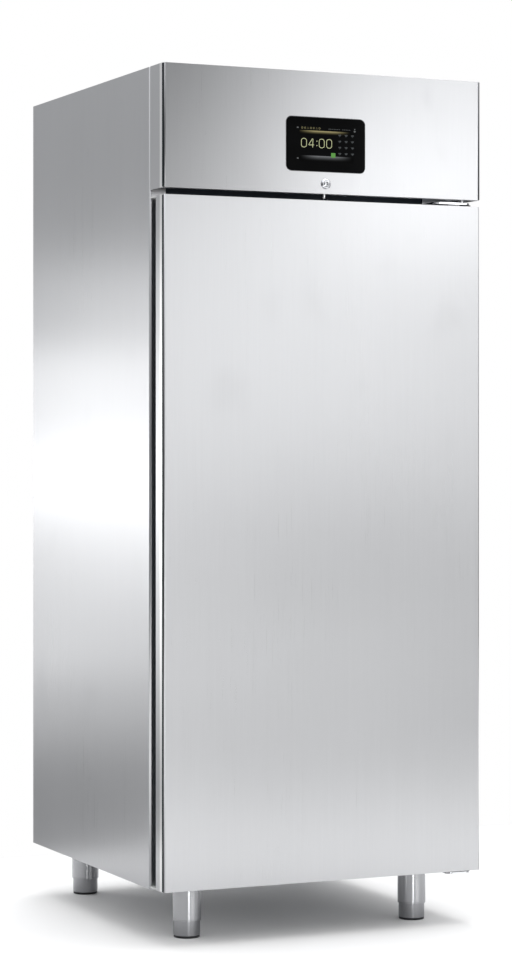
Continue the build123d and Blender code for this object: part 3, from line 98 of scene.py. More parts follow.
class ProoferSizes(bpy.types.PropertyGroup):
    """The sizes of the details that the frame leaves open."""

    grain: length("Grain width", "Width of one brushed line in the steel", 0.0001, 0.01, 0.0006)
    waviness: length("Sheet waviness", "How far the large sheets bow in and out", 0, 0.005, 0.0006)
    edge: length("Folded edge", "Radius of the sheets' folded edges", 0, 0.005, 0.0004)
    digit_height: length("Digit height", "Height of the screen's digits", 0.005, 0.06, 0.0195)
    digit_line: length("Digit line", "Width of the line that draws the digits", 0.0005, 0.005, 0.0013)
    fin_pitch: length("Fin pitch", "Distance between the coils' fins", 0.001, 0.02, 0.003)
    guard_wire: length("Guard wire", "Thickness of the fan guards' wire", 0.001, 0.005, 0.0026)
    blades: bpy.props.IntProperty(
        name="Fan blades", description="Number of blades on each fan", min=3, max=9, default=5)


class ProoferStage(bpy.types.PropertyGroup):
    """The floor, the light and the camera."""

    floor: length("Floor size", "Side of the pale floor", 4, 100, 5.2)
    lens: bpy.props.FloatProperty(
        name="Lens", description="Focal length of the camera in millimetres",
        min=20, max=300, default=99.95)
    camera: bpy.props.FloatVectorProperty(
        name="Camera", description="Place of the camera", subtype="TRANSLATION", size=3,
        default=(-2.629, -5.878, 1.108))
    turn: bpy.props.FloatProperty(
        name="Camera turn", description="The camera's turn to the right", subtype="ANGLE",
        default=math.radians(24.27))
    brightness: bpy.props.FloatProperty(
        name="Brightness", description="Strength of all the lamps together", min=0, max=10, default=1)


# Materials
class Value:
    """A number, colour or direction inside a material; sums written with it become nodes."""

    def __init__(self, paint, socket):
        self.paint = paint
        self.socket = socket

    def sum(self, operation, first, second=0):
        return self.paint.node("ShaderNodeMath", {"operation": operation}, {0: first, 1: second})

    def __add__(self, other):
        return self.sum("ADD", self, other)

    def __radd__(self, other):
        return self.sum("ADD", other, self)

    def __sub__(self, other):
        return self.sum("SUBTRACT", self, other)

    def __rsub__(self, other):
        return self.sum("SUBTRACT", other, self)

    def __mul__(self, other):
        return self.sum("MULTIPLY", self, other)

    def __rmul__(self, other):
        return self.sum("MULTIPLY", other, self)

    def __truediv__(self, other):
        return self.sum("DIVIDE", self, other)

    def __rtruediv__(self, other):
        return self.sum("DIVIDE", other, self)

    def __pow__(self, other):
        return self.sum("POWER", self, other)

    def __neg__(self):
        return self.sum("SUBTRACT", 0, self)

    def __abs__(self):
        return self.sum("ABSOLUTE", self)

    def least(self, other):
        return self.sum("MINIMUM", self, other)

    def most(self, other):
        return self.sum("MAXIMUM", self, other)

    def rise(self, low, high):
        """0 up to the low value, 1 from the high value, and smooth between them."""
        return self.paint.node("ShaderNodeMapRange", {"interpolation_type": "SMOOTHSTEP"},
                               {"Value": self, "From Min": low, "From Max": high})


class Paint:
    """A procedural material being mixed."""

    def __init__(self, name, **constants):
        self.start(bpy.data.materials.new(name))
        self.shader = self.tree.nodes.new("ShaderNodeBsdfPrincipled")
        end = self.tree.nodes.new("ShaderNodeOutputMaterial")
        self.tree.links.new(self.shader.outputs["BSDF"], end.inputs["Surface"])
        for socket, value in constants.items():
            self.shader.inputs[socket.replace("_", " ")].default_value = value

    def start(self, owner):
        """Take a new material's or world's nodes, and empty them."""
        self.owner = owner
        owner.use_nodes = True
        self.tree = owner.node_tree
        self.tree.nodes.clear()

    def node(self, kind, settings=None, values=None, output=0):
        """Add one node: its settings, then the values or links of its sockets; gives one output."""
        made = self.tree.nodes.new(kind)
        for name, value in (settings or {}).items():
            setattr(made, name, value)
        for name, value in (values or {}).items():
            self.join(value, made.inputs[name])
        return None if output is None else Value(self, made.outputs[output])

    def join(self, value, socket):
        """Link a value to a socket, or set the socket to a plain number or colour."""
        if isinstance(value, Value):
            self.tree.links.new(value.socket, socket)
        elif socket.type == "RGBA" and not isinstance(value, float) and len(value) == 3:
            socket.default_value = (*value, 1)
        else:
            socket.default_value = value

    def place(self):
        """The place on the object in metres."""
        return self.node("ShaderNodeTexCoord", output="Object")

    def part(self, value, which):
        """One of the three numbers in a place or colour."""
        return self.node("ShaderNodeSeparateXYZ", None, {0: value}, which)

    def axis(self, name):
        """One coordinate of the place on the object: X, Y or Z."""
        return self.part(self.place(), name)

    def noise(self, *scale, detail=2, roughness=0.5):
        """Soft noise with so many features per metre: one number, or one for each axis."""
        spread = self.node("ShaderNodeVectorMath", {"operation": "MULTIPLY"}, {
            0: self.place(), 1: (scale * 3)[:3]})
        return self.node("ShaderNodeTexNoise", None, {
            "Vector": spread, "Scale": 1, "Detail": detail, "Roughness": roughness})

    def cells(self, scale, output="Distance"):
        """Cells with so many per metre."""
        return self.node("ShaderNodeTexVoronoi", None, {"Vector": self.place(), "Scale": scale}, output)

    def mix(self, amount, first, second):
        """A colour between two others."""
        return self.node("ShaderNodeMix", {"data_type": "RGBA"}, {0: amount, 6: first, 7: second}, 2)

    def tones(self, amount, tone, dark, light):
        """A colour between two shades of one tone."""
        return self.mix(amount, shade(tone, dark), shade(tone, light))

    def tinted(self, colour, amount):
        """A mixed colour made darker."""
        return self.node("ShaderNodeVectorMath", {"operation": "SCALE"}, {0: colour, "Scale": amount})

    def set(self, colour, rough=None, height=None, glow=None):
        """Join what varies to the shader, and a height in metres to its bump; gives the material."""
        for name, value in (("Base Color", colour), ("Roughness", rough), ("Emission Color", glow)):
            if value is not None:
                self.join(value, self.shader.inputs[name])
        if height is not None:
            bump = self.node("ShaderNodeBump", None, {"Strength": 1, "Distance": 1, "Height": height})
            self.join(bump, self.shader.inputs["Normal"])
        return self.owner


class Sky(Paint):
    """The world's light, mixed in the same way as a material."""

    def __init__(self, name):
        self.start(bpy.data.worlds.new(name))


def shade(colour, amount):
    """A colour made lighter or darker."""
    return tuple(min(1, c * amount) for c in colour)


def brushed_steel(name, tone, rough, grain, waviness, flow=(1, 1, 0), folded=False, dim=1):
    """Satin sheet steel: brushed lines along one way, soft clouds, and a sheet that isn't quite flat.

    On a folded panel a painted highlight lightens the side's strip next to the front, where the rounded bend
    catches the light. Dim is how much painted shade darkens such a panel's front towards its left.
    """
    paint = Paint(name, Metallic=1, Anisotropic=0.45)

    def streaks(across, along, detail=2, roughness=0.5):
        return paint.noise(*(across if way else along for way in flow), detail=detail, roughness=roughness)

    fine = streaks(1 / grain, 8, 3, 0.6)
    band = streaks(90, 1.6)
    broad = streaks(14, 0.9)
    clouds = paint.noise(2.1, 2.1, 1.7, detail=3)
    smears = paint.noise(9, 9, 6, detail=4).rise(0.56, 0.78)
    light = fine * 0.44 + band * 0.12 + broad * 0.10 + clouds * 0.34
    colour = paint.tones(light, tone, 0.89, 1.11)
    roughness = rough - 0.08 + fine * 0.08 + band * 0.02 + clouds * 0.05 + smears * 0.03
    bow = paint.noise(1.3, 1.3, 0.9, detail=1)
    height = bow * waviness + band * 0.000004 + fine * (grain * 0.012)
    # painted light on folded panels: painted shade on the front towards the left, and a painted highlight on
    # the side's strip next to the front
    if folded:
        left, front = FOLD
        side = 1 - paint.axis("X").rise(left + 0.0002, left + 0.0006)
        # painted shade: the front's colour gets darker towards the left
        if dim < 1:
            painted_left_shade = paint.axis("X").rise(left - 0.08, left + 0.50)
            colour = paint.mix(painted_left_shade.most(side), paint.tinted(colour, dim), colour)
        # painted highlight: a near-white strip on the side within about 22 mm of the front, where the rounded
        # bend catches the light
        bend = side * (1 - paint.axis("Y").rise(front + 0.0220, front + 0.0235))
        colour = paint.mix(bend, colour, (0.90, 0.90, 0.895))
    return paint.set(colour, roughness, height)


def turned_steel(name, tone):
    """A turned tube: fine lines round it, which stretch what it reflects up and down."""
    paint = Paint(name, Metallic=1, Anisotropic=1, Anisotropic_Rotation=0.25)
    lines = paint.noise(30, 30, 1500, detail=3, roughness=0.6)
    handled = paint.noise(25, detail=3)
    colour = paint.tones(lines * 0.7 + handled * 0.3, tone, 0.88, 1.12)
    return paint.set(colour, 0.19 + lines * 0.05 + handled * 0.04, lines * 0.000003)


def galvanised(name, tone):
    """Zinc-coated sheet with its spangle and a dull film."""
    paint = Paint(name, Metallic=1)
    spangle = paint.part(paint.cells(95, "Color"), 0)
    small = paint.part(paint.cells(240, "Color"), 1)
    film = paint.noise(5, detail=4)
    colour = paint.tones(spangle * 0.45 + small * 0.15 + film * 0.4, tone, 0.86, 1.12)
    return paint.set(colour, 0.34 + spangle * 0.12 + film * 0.12, spangle * 0.00001 + film * 0.00008)


def polished(name, tone, rough=0.12):
    """Bright metal with faint round-about scratches and a few dull spots."""
    paint = Paint(name, Metallic=1)
    scratches = paint.noise(420, 420, 2600, detail=4, roughness=0.65)
    dull = paint.noise(60, detail=3).rise(0.55, 0.75)
    colour = paint.tones(scratches * 0.6 + dull * 0.3, tone, 1.06, 0.88)
    return paint.set(colour, rough - 0.03 + scratches * 0.07 + dull * 0.08, scratches * 0.000002)


def moulded(name, tone, rough=0.45, grit=900, depth=0.00003, level=0.5):
    """Moulded plastic with its fine eroded texture and handling marks."""
    paint = Paint(name, Specular_IOR_Level=level)
    pits = paint.noise(grit)
    flow = paint.noise(11, 11, 3.5, detail=3)
    marks = paint.noise(140, 140, 20, detail=3).rise(0.60, 0.80)
    colour = paint.tones(flow * 0.7 + marks * 0.3, tone, 0.86, 1.22)
    return paint.set(colour, rough - 0.06 + pits * 0.06 + flow * 0.08 - marks * 0.06, pits * depth)


def rubbery(name, tone, rough=0.62):
    """Soft rubber: dull, slightly dusty in its hollows."""
    paint = Paint(name, Sheen_Weight=0.15)
    skin = paint.noise(1400)
    dust = paint.noise(26, 26, 18, detail=4).rise(0.45, 0.8)
    colour = paint.tones(dust * 0.5 + skin * 0.2, tone, 1, 1.55)
    return paint.set(colour, rough + skin * 0.08 + dust * 0.1, skin * 0.00002)


def enamel(name, tone):
    """Thick glossy paint with an orange-peel skin."""
    paint = Paint(name, Coat_Weight=0.35, Coat_Roughness=0.15)
    peel = paint.noise(330)
    runs = paint.noise(20, 20, 6, detail=3)
    return paint.set(paint.tones(runs, tone, 0.8, 1.5), 0.32 + runs * 0.12, peel * 0.00006)


def tarnished(name, bright, dull, amount=0.5, rough=0.25):
    """Copper or brass: bright metal that has browned in patches."""
    paint = Paint(name, Metallic=1)
    patch = paint.noise(30, detail=5).rise(0.75 - amount * 0.5, 0.95 - amount * 0.25)
    drawn = paint.noise(260, detail=3)
    colour = paint.mix(patch * 0.8 + drawn * 0.2, bright, dull)
    return paint.set(colour, rough + patch * 0.2 + drawn * 0.06, drawn * 0.00001)


def sponge(name, tone):
    """Cut rigid foam: matt, with fine closed cells."""
    paint = Paint(name)
    cells = paint.cells(1100)
    large = paint.cells(330)
    age = paint.noise(7, detail=4)
    colour = paint.tones(cells * 0.5 + age * 0.5, tone, 0.86, 1.08)
    return paint.set(colour, 0.86 + cells * 0.1, cells * 0.0003 + large * 0.0006)


def dark_glass(name):
    """Back-painted glass: black, glossy, with a trace of wiping marks."""
    paint = Paint(name, Specular_IOR_Level=0.02)
    wipe = paint.noise(22, 22, 60, detail=3)
    colour = paint.mix(wipe, (0.0006, 0.0006, 0.0007), (0.002, 0.0021, 0.0023))
    return paint.set(colour, 0.07 + wipe * 0.05, wipe * 0.00001)


def lit(name, tone, strength, middle=0, half=0, low=0, high=0):
    """A lit mark on the screen.

    With a half-length its light fades from the middle to both ends; with a low and a high edge it
    fades from the high one down to the low one.
    """
    paint = Paint(name, Emission_Strength=strength, Roughness=0.4, Specular_IOR_Level=0.02)
    flicker = paint.noise(500, detail=1)
    amount = 0.9 + flicker * 0.2
    if half:
        amount = amount * (1 - abs(paint.axis("X") - middle).rise(half * 0.25, half))
    if high > low:
        down = (paint.axis("Z") - low) / (high - low)
        amount = amount * (down.most(0) ** 2.3)
    unlit = paint.mix(flicker, (0.0006, 0.0006, 0.0007), (0.002, 0.002, 0.002))
    return paint.set(unlit, glow=paint.mix(amount, (0, 0, 0), tone))


def milky(name):
    """The light strip's diffuser."""
    paint = Paint(name, Subsurface_Weight=0.25)
    ribs = paint.noise(3, 900, 3, detail=1)
    cloud = paint.noise(30, 30, 6, detail=3)
    colour = paint.mix(cloud, (0.78, 0.79, 0.77), (0.90, 0.91, 0.88))
    return paint.set(colour, 0.38 + cloud * 0.1, ribs * 0.0001)


def floor_paint(name):
    """The pale studio floor; glossy rays see it darker close by, a painted shade that the polished feet
    reflect.
    """
    paint = Paint(name)
    cloud = paint.noise(0.7, detail=3)
    speck = paint.noise(220)
    colour = paint.mix(cloud * 0.7 + speck * 0.3, (0.86, 0.86, 0.86), (0.92, 0.92, 0.92))
    away = (paint.axis("X") ** 2 + paint.axis("Y") ** 2) ** 0.5
    # painted shade: only glossy rays see the floor darker, within about a metre of the middle
    mirrored = paint.node("ShaderNodeLightPath", output="Is Glossy Ray")
    colour = paint.mix(mirrored * (1 - away.rise(0.7, 1.3)), colour, (0.42, 0.42, 0.43))
    return paint.set(colour, 0.7 + speck * 0.1, speck * 0.00005)


FINISHES = {}


def finishes():
    """Mix every finish once, and keep it by its short name."""
    if FINISHES:
        return FINISHES
    colours = bpy.context.scene.proofer_colours
    sizes = bpy.context.scene.proofer_sizes
    steel = tuple(colours.steel)
    sheet = (0.30, sizes.grain, sizes.waviness)
    FINISHES.update({
        "satin_steel": brushed_steel("satin steel", steel, *sheet),
        # panel steel carries painted shade towards its left and a painted highlight on its side strip; door
        # steel carries only the painted highlight
        "panel_steel": brushed_steel("panel steel", steel, *sheet, folded=True, dim=0.56),
        "door_steel": brushed_steel("door steel", steel, *sheet, folded=True),
        "inner_steel": brushed_steel(
            "inner steel", tuple(colours.inner_steel), 0.27, sizes.grain * 0.7, sizes.waviness * 0.5),
        "fin_aluminium": brushed_steel("fin aluminium", (0.78, 0.79, 0.80), 0.36, 0.002, 0, (0, 1, 1)),
        "foot_steel": turned_steel("foot steel", shade(steel, 1.06)),
        "zinc_steel": galvanised("zinc steel", tuple(colours.zinc)),
        "bright_steel": polished("bright steel", (0.74, 0.75, 0.77)),
        # painted highlight: the bolt's steel is lighter than the other polished steel, so that it shows
        # bright in the shaded gap under the panel
        "bolt_steel": polished("bolt steel", (0.94, 0.95, 0.96), 0.30),
        "chrome": polished("chrome", (0.66, 0.67, 0.70), 0.05),
        "copper": tarnished("copper", (0.93, 0.46, 0.29), (0.42, 0.20, 0.13)),
        "brass": tarnished("brass", (0.86, 0.66, 0.32), (0.50, 0.36, 0.17), 0.35, 0.22),
        "dark_plastic": moulded("frame plastic", tuple(colours.frame_plastic), 0.48, 700, 0.00002, 0.2),
        "grey_plastic": moulded("grey plastic", tuple(colours.grey_plastic), 0.42),
        "black_plastic": moulded("black plastic", (0.022, 0.022, 0.024), 0.46),
        # painted shade: near-black for the dark lines on the folded panels' sides and for the keyhole
        "painted_dark": moulded("edge line", (0.003, 0.006, 0.011), 0.6, 700, 0.00001, 0),
        "grey_rubber": rubbery("grey rubber", (0.16, 0.165, 0.17)),
        "black_rubber": rubbery("black rubber", (0.004, 0.005, 0.007)),
        "black_enamel": enamel("black enamel", (0.020, 0.021, 0.023)),
        "black_glass": dark_glass("black glass"),
        "light_diffuser": milky("light diffuser"),
        "foam": sponge("foam", (0.82, 0.72, 0.46)),
    })
    return FINISHES


# Shapes, all in millimetres in the cabinet's own frame
class Extent:
    """The box round a CAD node or solid: on each axis its two sides, middle and size.

    Its radius and foot are for round pieces that stand upright.
    """

    def __init__(self, low, high):
        self.x0, self.y0, self.z0 = low
        self.x1, self.y1, self.z1 = high
        self.x, self.y, self.z = ((a + b) / 2 for a, b in zip(low, high))
        self.wide, self.deep, self.tall = (b - a for a, b in zip(low, high))
        self.radius = self.wide / 2
        self.foot = (self.x, self.y, self.z0)


def extent(node):
    """The extent of a CAD node."""
    return Extent(*([v / MM for v in corner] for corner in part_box(node)))


def lumps(node):
    """The extents of a CAD node's separate solids, from low to high."""
    mesh = bmesh.new()
    mesh.from_mesh(NODES[node].data)
    bmesh.ops.remove_doubles(mesh, verts=mesh.verts, dist=0.00001)
    waiting = set(mesh.verts)
    found = []
    while waiting:
        edge = [waiting.pop()]
        points = []
        while edge:
            vert = edge.pop()
            points.append(vert.co / MM)
            for link in vert.link_edges:
                other = link.other_vert(vert)
                if other in waiting:
                    waiting.remove(other)
                    edge.append(other)
        spread = list(zip(*points))
        found.append(Extent([min(values) for values in spread], [max(values) for values in spread]))
    mesh.free()
    return sorted(found, key=lambda box: (round(box.x0, 1), round(box.y0, 1), round(box.z0, 1)))


def at(axis, along, u, v):
    """A point from its place along an axis and its other two coordinates in order."""
    return Vector({"x": (along, u, v), "y": (u, along, v), "z": (u, v, along)}[axis])


def around(centre, axis, radius, along, angle):
    """A point at an angle round an axis through a centre."""
    a = radius * math.cos(angle)
    b = radius * math.sin(angle)
    offsets = {"x": (along, a, b), "y": (b, along, a), "z": (a, b, along)}[axis]
    return Vector([c + o for c, o in zip(centre, offsets)])


def circle(centre, axis, radius, count, along=0):
    """Points spread evenly round an axis through a centre."""
    return [around(centre, axis, radius, along, 2 * math.pi * i / count) for i in range(count)]


def rounded(u0, u1, v0, v1, radius, steps=6):
    """The outline of a rectangle with round corners."""
    points = []
    for i, (u, v) in enumerate([
            (u1 - radius, v1 - radius), (u0 + radius, v1 - radius),
            (u0 + radius, v0 + radius), (u1 - radius, v0 + radius)]):
        for k in range(steps + 1):
            angle = math.pi / 2 * (i + k / steps)
            points.append((u + radius * math.cos(angle), v + radius * math.sin(angle)))
    return points


def bent(points, radius, steps=6):
    """A row of points with each corner rounded."""
    points = [Vector(p) for p in points]
    path = [points[0]]
    for before, corner, after in zip(points, points[1:], points[2:]):
        a = (before - corner).normalized()
        b = (after - corner).normalized()
        half = a.angle(b) / 2
        reach = radius / math.tan(half)
        centre = corner + (a + b).normalized() * (radius / math.sin(half))
        start = corner + a * reach - centre
        end = corner + b * reach - centre
        path += [centre + start.slerp(end, k / steps) for k in range(steps + 1)]
    return path + [points[-1]]


def thread(first, second, start, pitch, count):
    """A thread's zigzag in a profile: two radii in turn, from a start along the axis."""
    return [(radius, start + pitch * (i + share))
            for i in range(count) for radius, share in ((first, 0), (second, 0.5))]


class Form:
    """A mesh being shaped."""

    def __init__(self):
        self.mesh = bmesh.new()
        self.finish = 0

    def skin(self, rings, closed=False):
        """Cover a row of rings with equally many points, and its ends unless it closes on itself."""
        rows = [[self.mesh.verts.new(p) for p in ring] for ring in rings]
        count = len(rows[0])
        faces = []
        for first, second in zip(rows, rows[1:] + rows[:1] if closed else rows[1:]):
            for i in range(count):
                k = (i + 1) % count
                faces.append((first[i], first[k], second[k], second[i]))
        if not closed:
            faces += [rows[0][::-1], rows[-1]]
        for face in faces:
            self.mesh.faces.new(face).material_index = self.finish

    def box(self, x0, x1, y0, y1, z0, z1):
        """A plain block, softened later with the piece's edge."""
        self.prism([(x0, y0), (x1, y0), (x1, y1), (x0, y1)], "z", z0, z1)

    def prism(self, outline, axis, start, end):
        """An outline pushed along an axis; its points are the other two coordinates in order."""
        self.skin([[at(axis, along, u, v) for u, v in outline] for along in (start, end)])

    def lathe(self, profile, centre, axis="z", steps=48):
        """A profile of (radius, along) turned round an axis; a closed profile gives a ring."""
        closed = profile[0] == profile[-1]
        rings = [circle(centre, axis, max(radius, 0.001), steps, along) for radius, along in profile]
        self.skin(rings[:-1] if closed else rings, closed=closed)

    def tube(self, path, radius, sides=12, closed=False, flat=1):
        """A round bar along a path; flat is the share of its thickness that it keeps along Y."""
        path = [Vector(p) for p in path]
        count = len(path)
        side = None
        rings = []
        for i, point in enumerate(path):
            before = path[i - 1] if i or closed else point
            after = path[(i + 1) % count] if i + 1 < count or closed else point
            ahead = (after - before).normalized()
            if side is None:
                side = ahead.orthogonal().normalized()
            side = (side - ahead * side.dot(ahead)).normalized()
            up = ahead.cross(side)
            ring = []
            for k in range(sides):
                angle = 2 * math.pi * k / sides
                out = side * math.cos(angle) + up * math.sin(angle)
                out.y *= flat
                ring.append(point + out * radius)
            rings.append(ring)
        self.skin(rings, closed=closed)

    def hexagon(self, centre, axis, flats, start, end):
        """A six-sided nut or head."""
        self.skin([circle(centre, axis, flats / math.sqrt(3), 6, along) for along in (start, end)])

    def turn(self, centre, axis, degrees, since=0):
        """Turn the points made since a count of them about an axis."""
        self.mesh.verts.ensure_lookup_table()
        bmesh.ops.rotate(
            self.mesh, verts=self.mesh.verts[since:], cent=Vector(centre),
            matrix=Matrix.Rotation(math.radians(degrees), 3, axis.upper()))

    def thing(self, name, looks):
        """Make the mesh an object with these materials."""
        bmesh.ops.scale(self.mesh, vec=(MM, MM, MM), verts=self.mesh.verts)
        bmesh.ops.recalc_face_normals(self.mesh, faces=self.mesh.faces)
        data = bpy.data.meshes.new(name)
        self.mesh.to_mesh(data)
        self.mesh.free()
        for look in looks:
            data.materials.append(look)
        made = bpy.data.objects.new(name, data)
        bpy.context.scene.collection.objects.link(made)
        return made

    def piece(self, name, body, slot, stands_for=None, smooth=32, edge=0, looks=None):
        """Make the mesh an object on a body; looks names its finishes where they differ from its slot."""
        made = self.thing(name, [finishes()[look] for look in (looks or slot).split()])
        made.data.shade_smooth()
        made.data.set_sharp_from_angle(angle=math.radians(smooth))
        if edge:
            soften(made, edge)
        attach(made, body)
        if stands_for:
            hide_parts(stands_for)


def soften(made, edge):
    """Round an object's sharp edges a little."""
    weld = made.modifiers.new("joined corners", "WELD")
    weld.merge_threshold = 0.00001
    round_off = made.modifiers.new("soft edges", "BEVEL")
    round_off.width = edge * MM
    round_off.segments = 2
    round_off.limit_method = "ANGLE"
    round_off.angle_limit = math.radians(40)
    round_off.use_clamp_overlap = True
    round_off.harden_normals = True


def carry(look, edge, *nodes):
    """Keep CAD nodes as they are, with a finish and softened edges."""
    for node in nodes:
        thing = NODES[node]
        thing.data.materials.clear()
        thing.data.materials.append(finishes()[look])
        if edge:
            soften(thing, edge)


def painted_dark(name, body, node, *sides):
    """Painted shade: a thin dark sheet on a folded panel's side, close behind its front, where the rounded
    fold shows a dark line.
    """
    proud = 0.25
    box = extent(node)
    line = Form()
    for side in sides:
        reach = (box.x0 - proud, box.x0) if side == "left" else (box.x1, box.x1 + proud)
        line.box(*reach, box.y0 + 1, box.y0 + 8.2, box.z0 + 1.2, box.z1 - 1.2)
    line.piece(name, body, "dark_plastic", looks="painted_dark")


# Cabinet
class PROOFER_OT_shell(bpy.types.Operator):
    """Outer sheets: sides, back, base, machine bay floor, rear grille with pressed louvres and rivets"""

    bl_idname = "proofer.shell"
    bl_label = "Cabinet shell"

    def execute(self, context):
        edge = context.scene.proofer_sizes.edge / MM
        carry("satin_steel", edge, "side_panel_left", "side_panel_right")
        carry("zinc_steel", edge, "back_panel", "base_panel", "roof_deck", "rear_grille")
        carry("foam", 0, "cabinet_insulation")
        self.louvres()
        self.rivets()
        return {"FINISHED"}

    def louvres(self):
        """A pressed hood over each of the rear grille's slots."""
        back = extent("rear_grille").y1
        lowest = extent("roof_deck").z0 + 46
        half, deep, pitch = 63, 4.6, 18
        hoods = Form()
        for x in (-145, 0, 145):
            for row in range(11):
                z = lowest + pitch * row
                rings = []
                for share, swell in (
                        (-1, 0.05), (-0.97, 0.7), (-0.92, 1), (0.92, 1), (0.97, 0.7), (1, 0.05)):
                    out = deep * swell
                    profile = [
                        (0, 7.5), (out * 0.45, 6.6), (out * 0.85, 4), (out, 0.5), (out, -3.4),
                        (out - 0.8 * swell, -3.4), (out - 0.8 * swell, 0.3), (out * 0.62, 3.4),
                        (out * 0.25, 5.4), (-0.2, 6.2)]
                    rings.append([Vector((x + half * share, back + dy, z + dz)) for dy, dz in profile])
                hoods.skin(rings)
        hoods.piece("grille_louvres", "cabinet", "zinc_steel", smooth=50)

    def rivets(self):
        """Flat rivet heads along the rear sheets' sides."""
        box = extent("back_panel")
        top = extent("rear_grille").z1
        rows = [box.z0 + 40 + 124 * i for i in range(13)] + [top - 230, top - 130, top - 30]
        head = [(3.2, 0), (3, 0.7), (2.2, 1.15), (1.2, 1.35), (0, 1.4)]
        rivets = Form()
        for x in (box.x0 + 12, box.x1 - 12):
            for z in rows:
                rivets.lathe(head, (x, box.y1, z), "y", 16)
        rivets.piece("rear_rivets", "cabinet", "zinc_steel")


class PROOFER_OT_opening(bpy.types.Operator):
    """The dark frame round the chamber's mouth"""

    bl_idname = "proofer.opening"
    bl_label = "Opening frame"

    def execute(self, context):
        carry("dark_plastic", 0, "opening_frame")
        return {"FINISHED"}


class PROOFER_OT_dashboard(bpy.types.Operator):
    """The folded instrument panel on its two pivots, with the pin clips"""

    bl_idname = "proofer.dashboard"
    bl_label = "Instrument panel"

    def execute(self, context):
        carry("panel_steel", context.scene.proofer_sizes.edge / MM, "dashboard_panel")
        painted_dark("dashboard_painted_dark_line", "dashboard", "dashboard_panel", "left", "right")
        carry("zinc_steel", 0.5, "dashboard_hinges")
        return {"FINISHED"}


class Marks(Form):
    """Thin marks on the display's glass, placed by their x and z."""

    def __init__(self, y):
        super().__init__()
        self.y = y

    def stroke(self, points, width, sides=6, closed=False, bend=0):
        """A flat ribbon along a row of points, with its corners rounded by a bend."""
        path = [Vector((x, self.y, z)) for x, z in points]
        self.tube(bent(path, bend, 3) if bend else path, width, sides, closed, 0.06)

    def patch(self, x0, x1, z0, z1, radius, steps=3, proud=0):
        """A flat patch with round corners."""
        self.prism(rounded(x0, x1, z0, z1, radius, steps), "y", self.y - proud, self.y + 0.08)

    def dot(self, x, z, radius, steps):
        """A flat round dot."""
        self.lathe([(0, 0.06), (radius, 0.06), (radius, -0.04), (0, -0.04)], (x, self.y, z), "y", steps)


